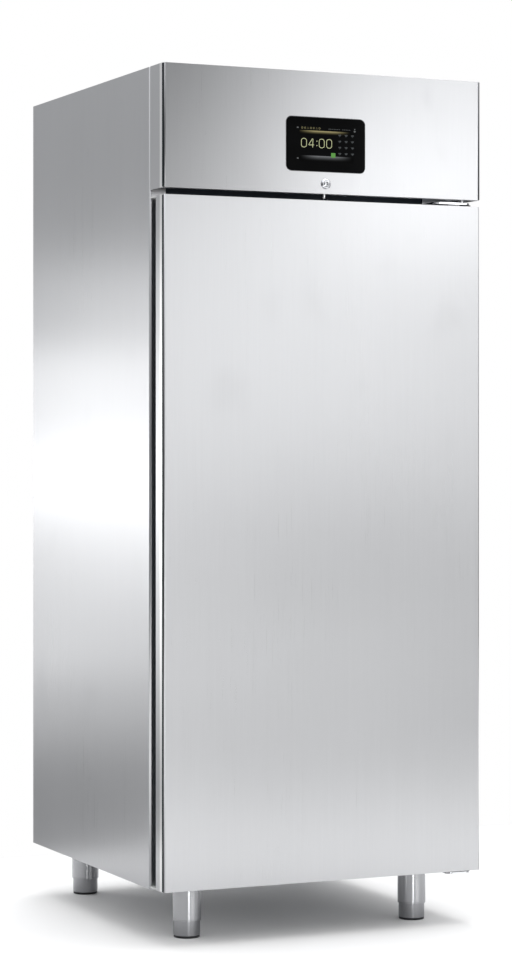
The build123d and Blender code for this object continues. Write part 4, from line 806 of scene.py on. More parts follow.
class PROOFER_OT_display(bpy.types.Operator):
    """The black glass with its lit screen, and the case and board behind it"""

    bl_idname = "proofer.display"
    bl_label = "Touch display"

    def execute(self, context):
        box = extent("display_glass")
        x0, x1, z0, z1 = box.x0, box.x1, box.z0, box.z1
        y = box.y0 - 0.12
        bars = ((z1 - 38.5, z1 - 29.6), (z1 - 98.5, z1 - 86))
        self.light(context.scene.proofer_colours, (x0 + x1) / 2, bars)
        self.glass(x0, x1, z0, z1, box.y0, box.y1)
        self.digits(context.scene.proofer_sizes, x0 + 35.5, z1 - 48, y)
        strips = Marks(y)
        for under, over in bars:
            strips.patch(x0 + 31, x1 - 29, under, over, 1)
            strips.finish += 1
        strips.piece("screen_bars", "dashboard", "black_glass", looks="glow_bar dim_bar")
        self.signs(x0, z1, y)
        key = Marks(y)
        key.patch(x0 + 109.6, x0 + 120.4, z1 - 88.4, z1 - 78, 1.2, 4, 0.02)
        key.piece("screen_start_key", "dashboard", "black_glass", looks="start_key")
        self.module()
        return {"FINISHED"}

    def light(self, colours, centre, bars):
        """Mix the finishes of the screen's lit marks; the bars fade to their ends and downwards."""
        half = 0.067
        upper, lower = ([v * MM for v in bar] for bar in bars)
        FINISHES.update({
            "digits": lit("lit digits", tuple(colours.digits), 0.72),
            "glow_bar": lit("lit bar", tuple(colours.glow), 0.60, centre * MM - 0.006, half, *upper),
            "dim_bar": lit("dim bar", (0.30, 0.31, 0.32), 0.60, centre * MM, half, *lower),
            "icons": lit("lit signs", (0.55, 0.50, 0.26), 0.42),
            "dim_icons": lit("dim signs", (0.40, 0.42, 0.42), 0.30),
            "keys": lit("dim keys", (0.24, 0.26, 0.27), 0.34),
            "start_key": lit("start key", tuple(colours.key_green), 0.95),
        })

    def glass(self, x0, x1, z0, z1, front, back):
        """The glass with a ground edge, and the thin seal round it that catches the light."""
        def ring(inset, y, steps):
            outline = rounded(x0 + inset, x1 - inset, z0 + inset, z1 - inset, 12 - inset, steps)
            return [at("y", y, u, v) for u, v in outline]

        glass = Form()
        glass.skin([ring(inset, y, 8) for inset, y in (
            (0, back), (0, front + 0.6), (0.25, front + 0.2), (0.9, front), (1.4, front))])
        glass.piece("display_front", "dashboard", "black_glass", "display_glass", smooth=25)
        seal = Form()
        seal.tube(ring(-0.9, back - 0.05, 10), 0.9, 8, True, 0.5)
        seal.piece("display_seal", "dashboard", "black_glass", smooth=60, looks="black_plastic")

    def digits(self, sizes, left, top, y):
        """The time as four figures and two dots, from their top left corner."""
        tall = sizes.digit_height / MM
        line = sizes.digit_line / MM / 2
        wide = tall * 0.656
        step = wide + tall * 0.298
        foot = top - tall
        marks = Marks(y)
        for place, figure in ((0, "0"), (1, "4"), (2.38, "0"), (3.38, "0")):
            x = left + place * step
            if figure == "0":
                marks.stroke(rounded(x, x + wide, foot, top, wide * 0.42), line, 8, True)
            else:
                stroke = ((0.74, 0), (0.74, 1), (0.02, 0.30), (1, 0.30))
                marks.stroke([(x + u * wide, foot + v * tall) for u, v in stroke], line, 8, bend=0.35)
        for v in (0.24, 0.74):
            marks.dot(left + 2.07 * step, foot + v * tall, 1.1, 14)
        marks.piece("screen_digits", "dashboard", "black_glass", looks="digits")

    def signs(self, x0, z1, y):
        """A row of small signs, a row of faint dashes, and the faint keypad."""
        signs = Marks(y)
        z = z1 - 24
        for i in range(7):
            x = x0 + 37.5 + 7.2 * i
            if i % 3 == 0:
                ring = [(p.x, p.z) for p in circle((x, y, z), "y", 1.9, 16)]
                signs.stroke(ring, 0.4, closed=True)
            elif i % 3 == 1:
                for dz in (-1.6, 0, 1.6):
                    signs.stroke([(x - 2, z + dz), (x + 2, z + dz)], 0.35)
            else:
                signs.stroke([(x - 2, z - 1.8), (x + 2, z - 1.8), (x, z + 2)], 0.35, closed=True)
        signs.finish = 1
        for dz in (0, -69):
            signs.patch(x0 + 24.3, x0 + 28.7, z + dz - 1.4, z + dz + 1.4, 0.6)
        for i in range(13):
            x = x0 + 103 + 4.3 * i
            if i != 7:
                signs.stroke([(x, z - 0.5), (x + 3, z - 0.5)], 0.5)
        signs.dot(x0 + 169, z + 2, 1.5, 12)
        signs.patch(x0 + 166.5, x0 + 171.5, z - 5, z - 1, 1.6)
        signs.finish = 2
        for column in range(3):
            for row in range(4):
                x = x0 + 131 + 16 * column
                z = z1 - 38 - 13.8 * row
                cup = [(x - 3.6, z + 1.6), (x + 3.6, z + 1.6), (x, z - 2.4)]
                signs.stroke(cup, 0.45, closed=True, bend=0.5)
                signs.stroke([(x - 2.2, z + 0.3), (x + 2.2, z + 0.3)], 0.8)
        signs.piece("screen_signs", "dashboard", "black_glass", looks="icons dim_icons keys")

    def module(self):
        """Chips and a connector on the back of the display's case."""
        carry("black_plastic", 0.5, "display_module")
        box = extent("display_module")
        parts = Form()
        y = box.y1
        for u, v, w, h, d in ((0.25, 0.6, 26, 26, 2), (0.55, 0.35, 16, 12, 1.6),
                              (0.72, 0.68, 20, 9, 2.4), (0.4, 0.22, 30, 6, 6)):
            x = box.x0 + u * box.wide
            z = box.z0 + v * box.tall
            parts.box(x - w / 2, x + w / 2, y, y + d, z - h / 2, z + h / 2)
        parts.piece("display_parts", "dashboard", "black_plastic", edge=0.4)


class PROOFER_OT_lock(bpy.types.Operator):
    """The lock: domed chrome rosette, turning core with its key slot, bolt and strike"""

    bl_idname = "proofer.lock"
    bl_label = "Lock"

    def execute(self, context):
        box = extent("lock_housing")
        face = extent("dashboard_panel").y0 - box.y0
        deep, radius, z = box.deep, box.tall / 2, box.z
        front = (0, box.y0, z)
        rosette = Form()
        rosette.lathe(
            [(7.1, 0.4), (8.2, 0), (9.4, 0.25), (10.6, 1.1), (11.5, 2.5), (radius, 4.2), (radius, face),
             (10, face)]
            + thread(9.4, 10, face + 5.4, 1.9, 12) + [(9.6, deep), (7.1, deep), (7.1, 0.4)], front, "y", 64)
        rosette.hexagon(front, "y", 22.6, face + 1.05, face + 5)
        rosette.piece(
            "lock_rosette", "dashboard", "bright_steel", "lock_housing", smooth=40, looks="chrome")
        self.core(z)
        carry("bolt_steel", 0.4, "lock_bolt")
        carry("zinc_steel", 0.3, "strike_plate")
        return {"FINISHED"}

    def core(self, z):
        """The core: a dished face with a keyhole drawn as a flat black patch of painted shade, a grooved
        barrel, and the eccentric pin behind it.
        """
        box = extent("lock_cylinder")
        front, deep = box.y0, box.deep
        core = Form()
        core.lathe([
            (0, 0.7), (2, 0.62), (4.6, 0.25), (5.6, 0), (6.4, 0.3), (6.95, 1.2), (6.95, deep - 9),
            (9.4, deep - 8.9), (9.4, deep - 5.1), (0, deep - 5)], (0, front, z), "y", 48)
        core.lathe([(0, -6), (1.5, -6), (1.5, -0.3), (1.2, 0), (0, 0)], (0, box.y1, z + 7), "y", 20)
        core.piece("lock_core", "lock_core", "bright_steel", "lock_cylinder")
        keyhole = [
            (-1.1, -4.2), (1.1, -4.2), (1.1, -0.6), (0.6, 0.2), (1.7, 1), (1.7, 4.2), (-1.2, 4.2),
            (-1.2, 1.6), (-1.8, 0.8), (-1.1, -0.2)]
        # painted shade: the keyhole is a black patch set into the face, not a hole
        slot = Form()
        slot.prism([(u, z + v) for u, v in keyhole], "y", front + 0.3, front + 2)
        slot.piece("lock_keyhole_shade", "lock_core", "black_plastic", looks="painted_dark")


# Door
class PROOFER_OT_door(bpy.types.Operator):
    """The door: outer sheet, inner sheet, foam, and the grip recess with its end caps"""

    bl_idname = "proofer.door"
    bl_label = "Door"

    def execute(self, context):
        edge = context.scene.proofer_sizes.edge / MM
        carry("door_steel", edge, "door_skin")
        carry("inner_steel", edge, "door_liner")
        carry("foam", 0, "door_foam")
        painted_dark("door_painted_dark_line", "door", "door_skin", "left")
        carry("dark_plastic", edge, "grip_profile")
        carry("grey_plastic", 0.8, "door_end_caps")
        return {"FINISHED"}


class PROOFER_OT_gasket(bpy.types.Operator):
    """The door's soft ring: a folded rubber profile with mitred corners"""

    bl_idname = "proofer.gasket"
    bl_label = "Door gasket"

    def execute(self, context):
        box = extent("door_gasket")
        profile = [
            (1, 0), (19, 0), (19.6, 0.10), (18.2, 0.20), (19.4, 0.34), (18, 0.50), (19.8, 0.64),
            (20, 0.78), (19.6, 0.93), (18.6, 1), (3.2, 1), (1.4, 0.97), (0, 0.86), (0, 0.72),
            (1.8, 0.58), (0.6, 0.40), (2, 0.22), (0.4, 0.10)]
        rings = []
        for inward, share in profile:
            x0, x1 = box.x0 + inward, box.x1 - inward
            z0, z1 = box.z0 + inward, box.z1 - inward
            y = box.y0 + box.deep * share
            rings.append([Vector(p) for p in ((x0, y, z0), (x1, y, z0), (x1, y, z1), (x0, y, z1))])
        ring = Form()
        ring.skin(rings, closed=True)
        ring.piece("door_seal", "door", "grey_rubber", "door_gasket", smooth=28, edge=0.25)
        return {"FINISHED"}


class PROOFER_OT_hinges(bpy.types.Operator):
    """Hinge brackets with their pins, the flanged bushes, and every screw with its hexagon socket"""

    bl_idname = "proofer.hinges"
    bl_label = "Hinges and screws"

    def execute(self, context):
        carry("bright_steel", 0.6, "hinge_bracket_top", "hinge_bracket_bottom")
        self.bushes()
        self.screws()
        return {"FINISHED"}

    def bushes(self):
        """Flanged bushes; the upper one has its flange at its top, the lower one at its bottom."""
        bushes = Form()
        for box in lumps("hinge_bushes"):
            tall = box.tall
            start, way, flange = (box.z0, 1, 4.7) if box.z > 1000 else (box.z1, -1, 3.95)
            profile = [
                (5.05, 0), (8.6, 0), (9, 0.5), (9, tall - flange), (12.6, tall - flange),
                (13, tall - flange + 0.4), (13, tall - 0.4), (12.6, tall), (5.05, tall), (5.05, 0)]
            turned = [(radius, way * along) for radius, along in profile]
            bushes.lathe(turned, (box.x, box.y, start), "z", 40)
        bushes.piece("hinge_bearings", "door", "black_plastic", "hinge_bushes")

    def screws(self):
        """Dome-headed screws where the CAD has plain ones."""
        screws = Form()
        head = [
            (0, 1.9), (1.7, 1.9), (2, 0.25), (2.4, 0), (3.6, 0.45), (4.6, 1.6), (5, 3), (5, 3.5),
            (3, 3.5)]
        for box in lumps("m6_screws"):
            if box.deep > box.tall:
                axis, start, long = "y", (box.x, box.y0, box.z), box.deep
            else:
                axis, start, long = "z", box.foot, box.tall
            screws.lathe(head + thread(3, 2.65, 3.9, 1, 15) + [(2.4, long), (0, long)], start, axis, 24)
            screws.hexagon(start, axis, 3.9, 1.85, 1.95)
        screws.piece("dome_screws", "cabinet", "bright_steel", "m6_screws", smooth=30)


class PROOFER_OT_feet(bpy.types.Operator):
    """The four round feet: fixed tubes, adjustable cups on their threads, rubber discs"""

    bl_idname = "proofer.feet"
    bl_label = "Adjustable feet"

    def execute(self, context):
        tubes = Form()
        for box in lumps("foot_sleeves"):
            r, tall = box.radius, box.tall
            tubes.lathe([
                (r - 2, 0.8), (r - 1.4, 0), (r - 0.5, 0.1), (r, 0.8), (r, 2.2), (r - 0.5, 2.6),
                (r - 0.5, 3.4), (r, 3.8), (r, tall - 3), (r - 0.3, tall - 0.6), (r - 0.9, tall), (8.05, tall),
                (8.05, tall - 51), (13.6, tall - 51), (14, tall - 50.4), (14, tall - 3),
                (r - 2, tall - 3), (r - 2, 0.8)], box.foot, "z", 72)
        tubes.piece("foot_tubes", "cabinet", "bright_steel", "foot_sleeves", looks="foot_steel")
        for place in ("front_left", "front_right", "rear_left", "rear_right"):
            self.cup(place)
            self.pad(place)
        return {"FINISHED"}

    def cup(self, place):
        """The cup that slides in the tube, its floor, and its threaded stem."""
        box = extent("foot_stem_" + place)
        r, tall = box.radius, box.tall
        rim, pitch = 75, 1.5
        cup = Form()
        cup.lathe([
            (0, 0), (r - 1.2, 0), (r - 0.35, 0.35), (r, 1.2), (r, rim - 0.5), (r - 0.5, rim),
            (r - 1.6, rim), (r - 2, rim - 0.4), (r - 2, 4.5), (r - 2.6, 4), (8, 4)]
            + thread(8, 7.3, 5, pitch, int((tall - 8) / pitch))
            + [(7.2, tall - 0.8), (6.4, tall), (0, tall)], box.foot, "z", 72)
        cup.piece(
            "foot_cup_" + place, "foot_" + place, "bright_steel", "foot_stem_" + place, looks="foot_steel")

    def pad(self, place):
        """The rubber disc, ribbed underneath."""
        box = extent("foot_pad_" + place)
        r, tall = box.radius, box.tall
        pad = Form()
        pad.lathe([
            (0, 0), (r - 9, 0), (r - 8.4, 0.5), (r - 7.6, 0.5), (r - 7, 0), (r - 1, 0), (r - 0.3, 0.3),
            (r, 1), (r, tall - 1.1), (r - 0.4, tall), (0, tall)], box.foot, "z", 64)
        pad.piece("foot_rubber_" + place, "foot_" + place, "black_rubber", "foot_pad_" + place)


# Cooling unit behind the instrument panel
class PROOFER_OT_compressor(bpy.types.Operator):
    """The welded compressor can, its rubber mounts, terminal cover and base sheet"""

    bl_idname = "proofer.compressor"
    bl_label = "Compressor"

    def execute(self, context):
        feet = lumps("compressor_mounts")
        box = extent("compressor")
        x, y = sum(foot.x for foot in feet) / 4, sum(foot.y for foot in feet) / 4
        r = extent("compressor_cover").x0 + 6 - x
        self.can(feet, (x, y, box.z0), r, box.tall)
        self.stubs((box.x0, y, box.z0 + 70), x - r * 0.9 - box.x0)
        self.mounts(feet)
        carry("black_plastic", 1.5, "compressor_cover")
        carry("zinc_steel", 0.4, "unit_base")
        return {"FINISHED"}

    def can(self, feet, foot, r, tall):
        """The welded can with its seam, on its foot plate with the mounts' bolts."""
        plate = 3
        seam = 0.55 * tall
        x, y, bottom = foot
        can = Form()
        can.lathe([
            (0, 8), (r * 0.45, 9), (r * 0.75, 14), (r * 0.93, 26), (r - 1, 42), (r, 55),
            (r, seam - 1), (r + 1.2, seam), (r + 2.6, seam + 1.2), (r + 3, seam + 2.5),
            (r + 2.6, seam + 3.8), (r + 1.2, seam + 5), (r - 0.6, seam + 5.6), (r - 0.6, tall - 46),
            (r - 3, tall - 30),
            (r * 0.88, tall - 17), (r * 0.7, tall - 7), (r * 0.42, tall - 1.5), (r * 0.30, tall - 1.2),
            (r * 0.26, tall), (0, tall)], foot, "z", 72)
        can.prism(rounded(x - 95, x + 95, y - 60, y + 60, 12), "z", bottom, bottom + plate)
        can.lathe([(38, plate), (38, 30), (20, 36), (20, plate), (38, plate)], foot, "z", 40)
        for mount in feet:
            can.lathe([(0, plate), (6, plate), (6, 5.5), (3.5, 7.5), (0, 7.5)],
                      (mount.x, mount.y, bottom), "z", 20)
        can.piece("compressor_can", "cabinet", "black_enamel", "compressor", smooth=35)

    def stubs(self, start, long):
        """Two short copper pipe ends."""
        x, y, z = start
        stubs = Form()
        for side, size in ((1, 5), (-1, 3.2)):
            stubs.lathe([
                (size, 0.4), (size, long), (size + 2, long), (size + 1.6, 5), (size + 0.6, 3.6),
                (size + 0.6, 0.4), (size, 0.4)], (x, y + side * 22, z), "x", 24)
        stubs.piece("compressor_stubs", "cabinet", "black_enamel", looks="copper")

    def mounts(self, feet):
        """Waisted rubber mounts."""
        rubber = Form()
        for box in feet:
            r, tall = box.radius, box.tall
            rubber.lathe([
                (0, 0), (r - 0.6, 0), (r, 0.6), (r, 3.4), (r - 3, 4.6), (r - 3, tall - 5),
                (r - 1, tall - 3.4), (r - 1, tall - 0.6), (r - 1.6, tall), (0, tall)], box.foot, "z", 32)
        rubber.piece("mount_rubbers", "cabinet", "black_rubber", "compressor_mounts")


def fin_pack(name, node, deep, pitch, tubes):
    """A coil as thin fins between two end plates, with copper tubes and their return bends."""
    box = extent(node)
    bend, margin, plate = 14, 3, 2
    x0, x1 = box.x0 + bend, box.x1 - bend
    y0, y1 = box.y0, box.y0 + deep
    z0, z1 = box.z0, box.z1
    fins = Form()
    long = x1 - x0 - 2 * margin
    count = int(long / pitch)
    for i in range(count + 1):
        x = x0 + margin + i * long / count + 0.35 * math.sin(i * 1.7) * math.sin(i * 0.31)
        fins.box(x - 0.12, x + 0.12, y0 + margin, y1 - margin, z0 + margin, z1 - margin)
    fins.finish = 1
    for x in (x0, x1 - plate):
        fins.box(x, x + plate, y0, box.y1, z0, z1)
        fins.box(x, x + plate, y0, y1, z0, z1)
    fins.finish = 2
    y = (y0 + y1) / 2
    rows = [z0 + (z1 - z0) / tubes * (i + 0.5) for i in range(tubes)]
    for z in rows:
        fins.tube([(x0 - 1, y, z), (x1 + 1, y, z)], 4.6)
    for i, (z, above) in enumerate(zip(rows, rows[1:])):
        end, way = (x1, 1) if i % 2 == 0 else (x0, -1)
        reach = end + way * (bend - 4.9)
        fins.tube(bent([(end, y, z), (reach, y, z), (reach, y, above), (end, y, above)], 10, 7), 4.8, 14)
        for row in (z, above):
            collar = [(0, 0), (5, 0), (5, way * 2.2), (0, way * 2.2)]
            fins.lathe(collar, (end, y, row), "x", 14)
    fins.piece(name, "cabinet", "fin_aluminium", node, looks="fin_aluminium zinc_steel copper")


class PROOFER_OT_condenser(bpy.types.Operator):
    """The condenser's fins and tubes, its air box, and the fan's motor on its arms"""

    bl_idname = "proofer.condenser"
    bl_label = "Condenser"

    def execute(self, context):
        fin_pack("condenser_fins", "condenser_coil", 70, context.scene.proofer_sizes.fin_pitch / MM, 8)
        carry("zinc_steel", 0.4, "condenser_shroud")
        motors("condenser_motor", "condenser_fan_motor", "condenser_fan_motor")
        return {"FINISHED"}


def blade_wheel(name, node, body, reach, blades):
    """A fan wheel: a ribbed hub and curved, twisted blades that reach so far out."""
    box = extent(node)
    x, y, z = centre = (box.x, box.y, box.z)
    depth = box.deep / 2
    hub, ribs, stations, chord_points = 26, 6, 9, 8
    wheel = Form()
    wheel.lathe([
        (0, -depth), (hub - 6, -depth), (hub - 1.5, -depth + 1.5), (hub, -depth + 5), (hub, depth - 0.6),
        (hub - 0.6, depth), (hub - 2.6, depth), (hub - 2.6, -depth + 6), (8, -depth + 4), (8, depth - 1),
        (4.05, depth - 1), (4.05, depth - 14), (0, depth - 14)], centre, "y", 48)
    for k in range(ribs):
        start = len(wheel.mesh.verts)
        wheel.box(x + 8, x + hub - 2.4, y - depth + 5, y + depth - 3, z - 0.8, z + 0.8)
        wheel.turn(centre, "y", 360 / ribs * k, start)
    across = [-0.5 + j / chord_points for j in range(chord_points + 1)]
    for k in range(blades):
        rings = []
        for i in range(stations):
            share = i / (stations - 1)
            radius = hub - 1.5 + (reach - hub + 1.5) * share
            chord = math.radians(50 + 12 * math.sin(math.pi * share))
            pitch = depth * (0.86 - 0.34 * share)
            ring = []
            for side, row in ((1, across), (-1, across[::-1])):
                for t in row:
                    bulge = 1 - 4 * t * t
                    thick = (1.15 - 0.5 * share) * math.sqrt(max(0.03, bulge))
                    lift = pitch * 1.6 * t + 0.11 * depth * bulge + side * thick
                    angle = 2 * math.pi * k / blades + 0.30 * share + chord * t
                    ring.append(around(centre, "y", radius, max(-depth, min(depth, lift)), angle))
            rings.append(ring)
        wheel.skin(rings)
    wheel.piece(name, body, "black_plastic", node, smooth=40)


def motors(name, node, stands_for=None):
    """Fan motors: a finned can with its end bell, its shaft, and four wire arms."""
    r, long, lift = 36, 52, 20
    made = Form()
    for can in (lump for lump in lumps(node) if lump.deep > 30):
        x, z, front = can.x, can.z, can.y1 - long
        cooling = [point for i in range(6) for point in (
            (r, 10 + 5.4 * i), (r - 1.6, 10.8 + 5.4 * i), (r - 1.6, 12.2 + 5.4 * i), (r, 13 + 5.4 * i))]
        made.lathe(
            [(0, 0), (r - 8, 0), (r - 2, 2.5), (r, 7)] + cooling
            + [(r, long - 7), (r - 2.2, long - 2.2), (r - 8, long), (0, long)], (x, front, z), "y", 48)
        made.lathe([(0, -11.6), (3.4, -11.6), (4, -11), (4, 1), (0, 1)], (x, front, z), "y", 20)
        far = can.radius - 2.5
        for sx in (-far, far):
            for sz in (-far, far):
                path = [
                    (x + sx * 0.28, front + lift, z + sz * 0.28), (x + sx, front + lift, z + sz),
                    (x + sx, can.y0, z + sz)]
                made.tube(bent(path, 8), 2.5, 10)
    made.piece(name, "cabinet", "zinc_steel", stands_for)


class PROOFER_OT_fans(bpy.types.Operator):
    """The three fan wheels"""

    bl_idname = "proofer.fans"
    bl_label = "Fan wheels"

    def execute(self, context):
        blades = context.scene.proofer_sizes.blades
        blade_wheel("condenser_blades", "condenser_fan", "condenser_wheel", 90.6, blades)
        blade_wheel("left_blades", "chamber_fan_left", "left_wheel", 89.6, blades)
        blade_wheel("right_blades", "chamber_fan_right", "right_wheel", 89.6, blades)
        return {"FINISHED"}


class PROOFER_OT_pipes(bpy.types.Operator):
    """Copper lines with brazed joints, the water valve with its threaded inlet, and the cable gland"""

    bl_idname = "proofer.pipes"
    bl_label = "Pipes, valve and gland"

    def execute(self, context):
        carry("copper", 0, "refrigerant_pipes", "steam_pipe")
        back = extent("rear_grille").y1
        self.valve(back)
        self.gland(back)
        return {"FINISHED"}

    def valve(self, back):
        """The brass body, its nut and thread, and the moulded coil with two terminals."""
        box = extent("water_valve")
        x, y, z = box.x, back - 40, box.z0 + 17.2
        out = box.y1 - back
        r = 13.2
        inlet = (x, back, z)
        valve = Form()
        valve.lathe(
            [(r - 3.5, out), (r - 1.2, out)]
            + thread(r, r - 1.1, out - 1, -1.8, 6)
            + [(r - 0.8, 1.5), (r - 0.8, 0), (r, -0.2), (r, -24), (r - 3.5, -24), (r - 3.5, out)],
            inlet, "y", 48)
        valve.hexagon(inlet, "y", 29.4, -5, -1.05)
        valve.prism(rounded(x - 15, x + 15, y - 16, y + 16, 5), "z", z - 15, z + 15)
        valve.hexagon((x, y, z), "z", 24, 14, 19)
        valve.piece("valve_body", "cabinet", "brass", "water_valve", smooth=30, edge=0.5)
        coil = Form()
        top = box.z1 - z
        coil.lathe([
            (0, 18), (15, 18), (16, 19), (16, top - 5), (15, top - 3), (7, top - 3),
            (7, top), (0, top)], (x, y, z), "z", 40)
        for dx in (-5, 5):
            coil.box(x + dx - 3, x + dx + 3, y - 15.6, y - 15, z + 26, z + 38)
        coil.piece("valve_coil", "cabinet", "brass", looks="black_plastic")

    def gland(self, back):
        """The gland's ribbed dome nut, collar and inner nut, with an open bore."""
        box = extent("cable_gland")
        end, start = box.y1 - back, box.y0 - back
        gland = Form()
        gland.lathe([
            (5.05, end), (8, end), (9.6, end - 1.2), (10.6, end - 3.4), (12, end - 4.4), (12, 0), (8, 0),
            (8, -1), (13, -1), (13, -6.5), (12.4, -7), (8, -7), (8, start + 0.4), (5.05, start),
            (5.05, end)], (box.x, back, box.z), "y", 48)
        gland.piece("gland_nut", "cabinet", "black_plastic", "cable_gland")


class PROOFER_OT_electrics(bpy.types.Operator):
    """The electrical box with its vented lid"""

    bl_idname = "proofer.electrics"
    bl_label = "Electrical box"

    def execute(self, context):
        carry("zinc_steel", 0.4, "control_box")
        box = extent("control_box")
        x, lid = box.x, box.z1
        vents = Form()
        for i in range(9):
            y = box.y0 + 60 + 22 * i
            vents.prism(rounded(x - 45, x + 45, y - 2.5, y + 2.5, 2.4), "z", lid - 0.05, lid + 0.05)
        vents.piece("lid_vents", "cabinet", "black_plastic")
        heads = Form()
        for u in (box.x0 + 10, box.x1 - 10):
            for v in (box.y0 + 12, box.y1 - 12):
                heads.lathe([(0, 1.9), (2, 1.8), (3.4, 1.1), (3.8, 0), (0, 0)], (u, v, lid), "z", 20)
        heads.piece("lid_screws", "cabinet", "zinc_steel")
        return {"FINISHED"}


# Chamber
class PROOFER_OT_chamber(bpy.types.Operator):
    """Inside: liner, uprights, tray ledges, duct panel, light and probes"""

    bl_idname = "proofer.chamber"
    bl_label = "Chamber"

    def execute(self, context):
        carry("inner_steel", context.scene.proofer_sizes.edge / MM, "chamber_liner")
        carry("inner_steel", 0.3, "uprights", "tray_runners", "duct_panel")
        carry("light_diffuser", 1, "light_strip")
        carry("inner_steel", 0.4, "probes")
        box = extent("duct_panel")
        face = box.y0
        head = [(0, -2.2), (2.2, -2.1), (4.2, -1.2), (4.8, 0.05), (0, 0.05)]
        heads = Form()
        for x in (box.x0 + 8, box.x1 - 8):
            for i in range(6):
                z = box.z0 + 60 + i * (box.tall - 120) / 5
                heads.lathe(head, (x, face, z), "y", 20)
                heads.box(x - 2.6, x + 2.6, face - 2.35, face - 2.1, z - 0.45, z + 0.45)
        heads.piece("duct_screws", "cabinet", "inner_steel")
        return {"FINISHED"}


class PROOFER_OT_guards(bpy.types.Operator):
    """The chamber fans' motors and their round wire guards"""

    bl_idname = "proofer.guards"
    bl_label = "Fan guards and motors"

    def execute(self, context):
        motors("chamber_motors", "chamber_fan_motors")
        wire = context.scene.proofer_sizes.guard_wire / MM / 2
        face = extent("duct_panel").y0
        guards = Form()
        for side in ("left", "right"):
            fan = extent("chamber_fan_" + side)
            x, y, z = centre = (fan.x, face, fan.z)
            for radius, along in ((24, -4.6), (47, -4.4), (70, -4.2), (93, -4)):
                guards.tube(circle(centre, "y", radius, 72, along), wire, 10, True)
            for k in range(4):
                angle = math.pi / 2 * k
                inner = around(centre, "y", 16, -2.2, angle)
                outer = around(centre, "y", 101, -1.6, angle)
                guards.tube([inner, outer], wire, 10)
                start = len(guards.mesh.verts)
                guards.box(x + 98.5, x + 107, face - 2, face, z - 6, z + 6)
                guards.lathe([(0, -3.6), (2.2, -3.5), (3.4, -2), (0, -2)], (x + 104, face, z), "y", 16)
                guards.turn(centre, "y", 90 * k, start)
            guards.tube(circle(centre, "y", 16, 32, -2.2), wire, 10, True)
        guards.piece(
            "fan_guards", "cabinet", "zinc_steel", "chamber_fan_motors", smooth=50, looks="bright_steel")
        return {"FINISHED"}


class PROOFER_OT_cold(bpy.types.Operator):
    """Behind the duct panel: evaporator fins, drip tray with its drain, and the armoured heater"""

    bl_idname = "proofer.cold"
    bl_label = "Evaporator and heater"

    def execute(self, context):
        pitch = context.scene.proofer_sizes.fin_pitch / MM * 1.5
        fin_pack("evaporator_fins", "evaporator_coil", 90, pitch, 10)
        carry("inner_steel", 0, "evaporator_tray", "heating_element")
        return {"FINISHED"}


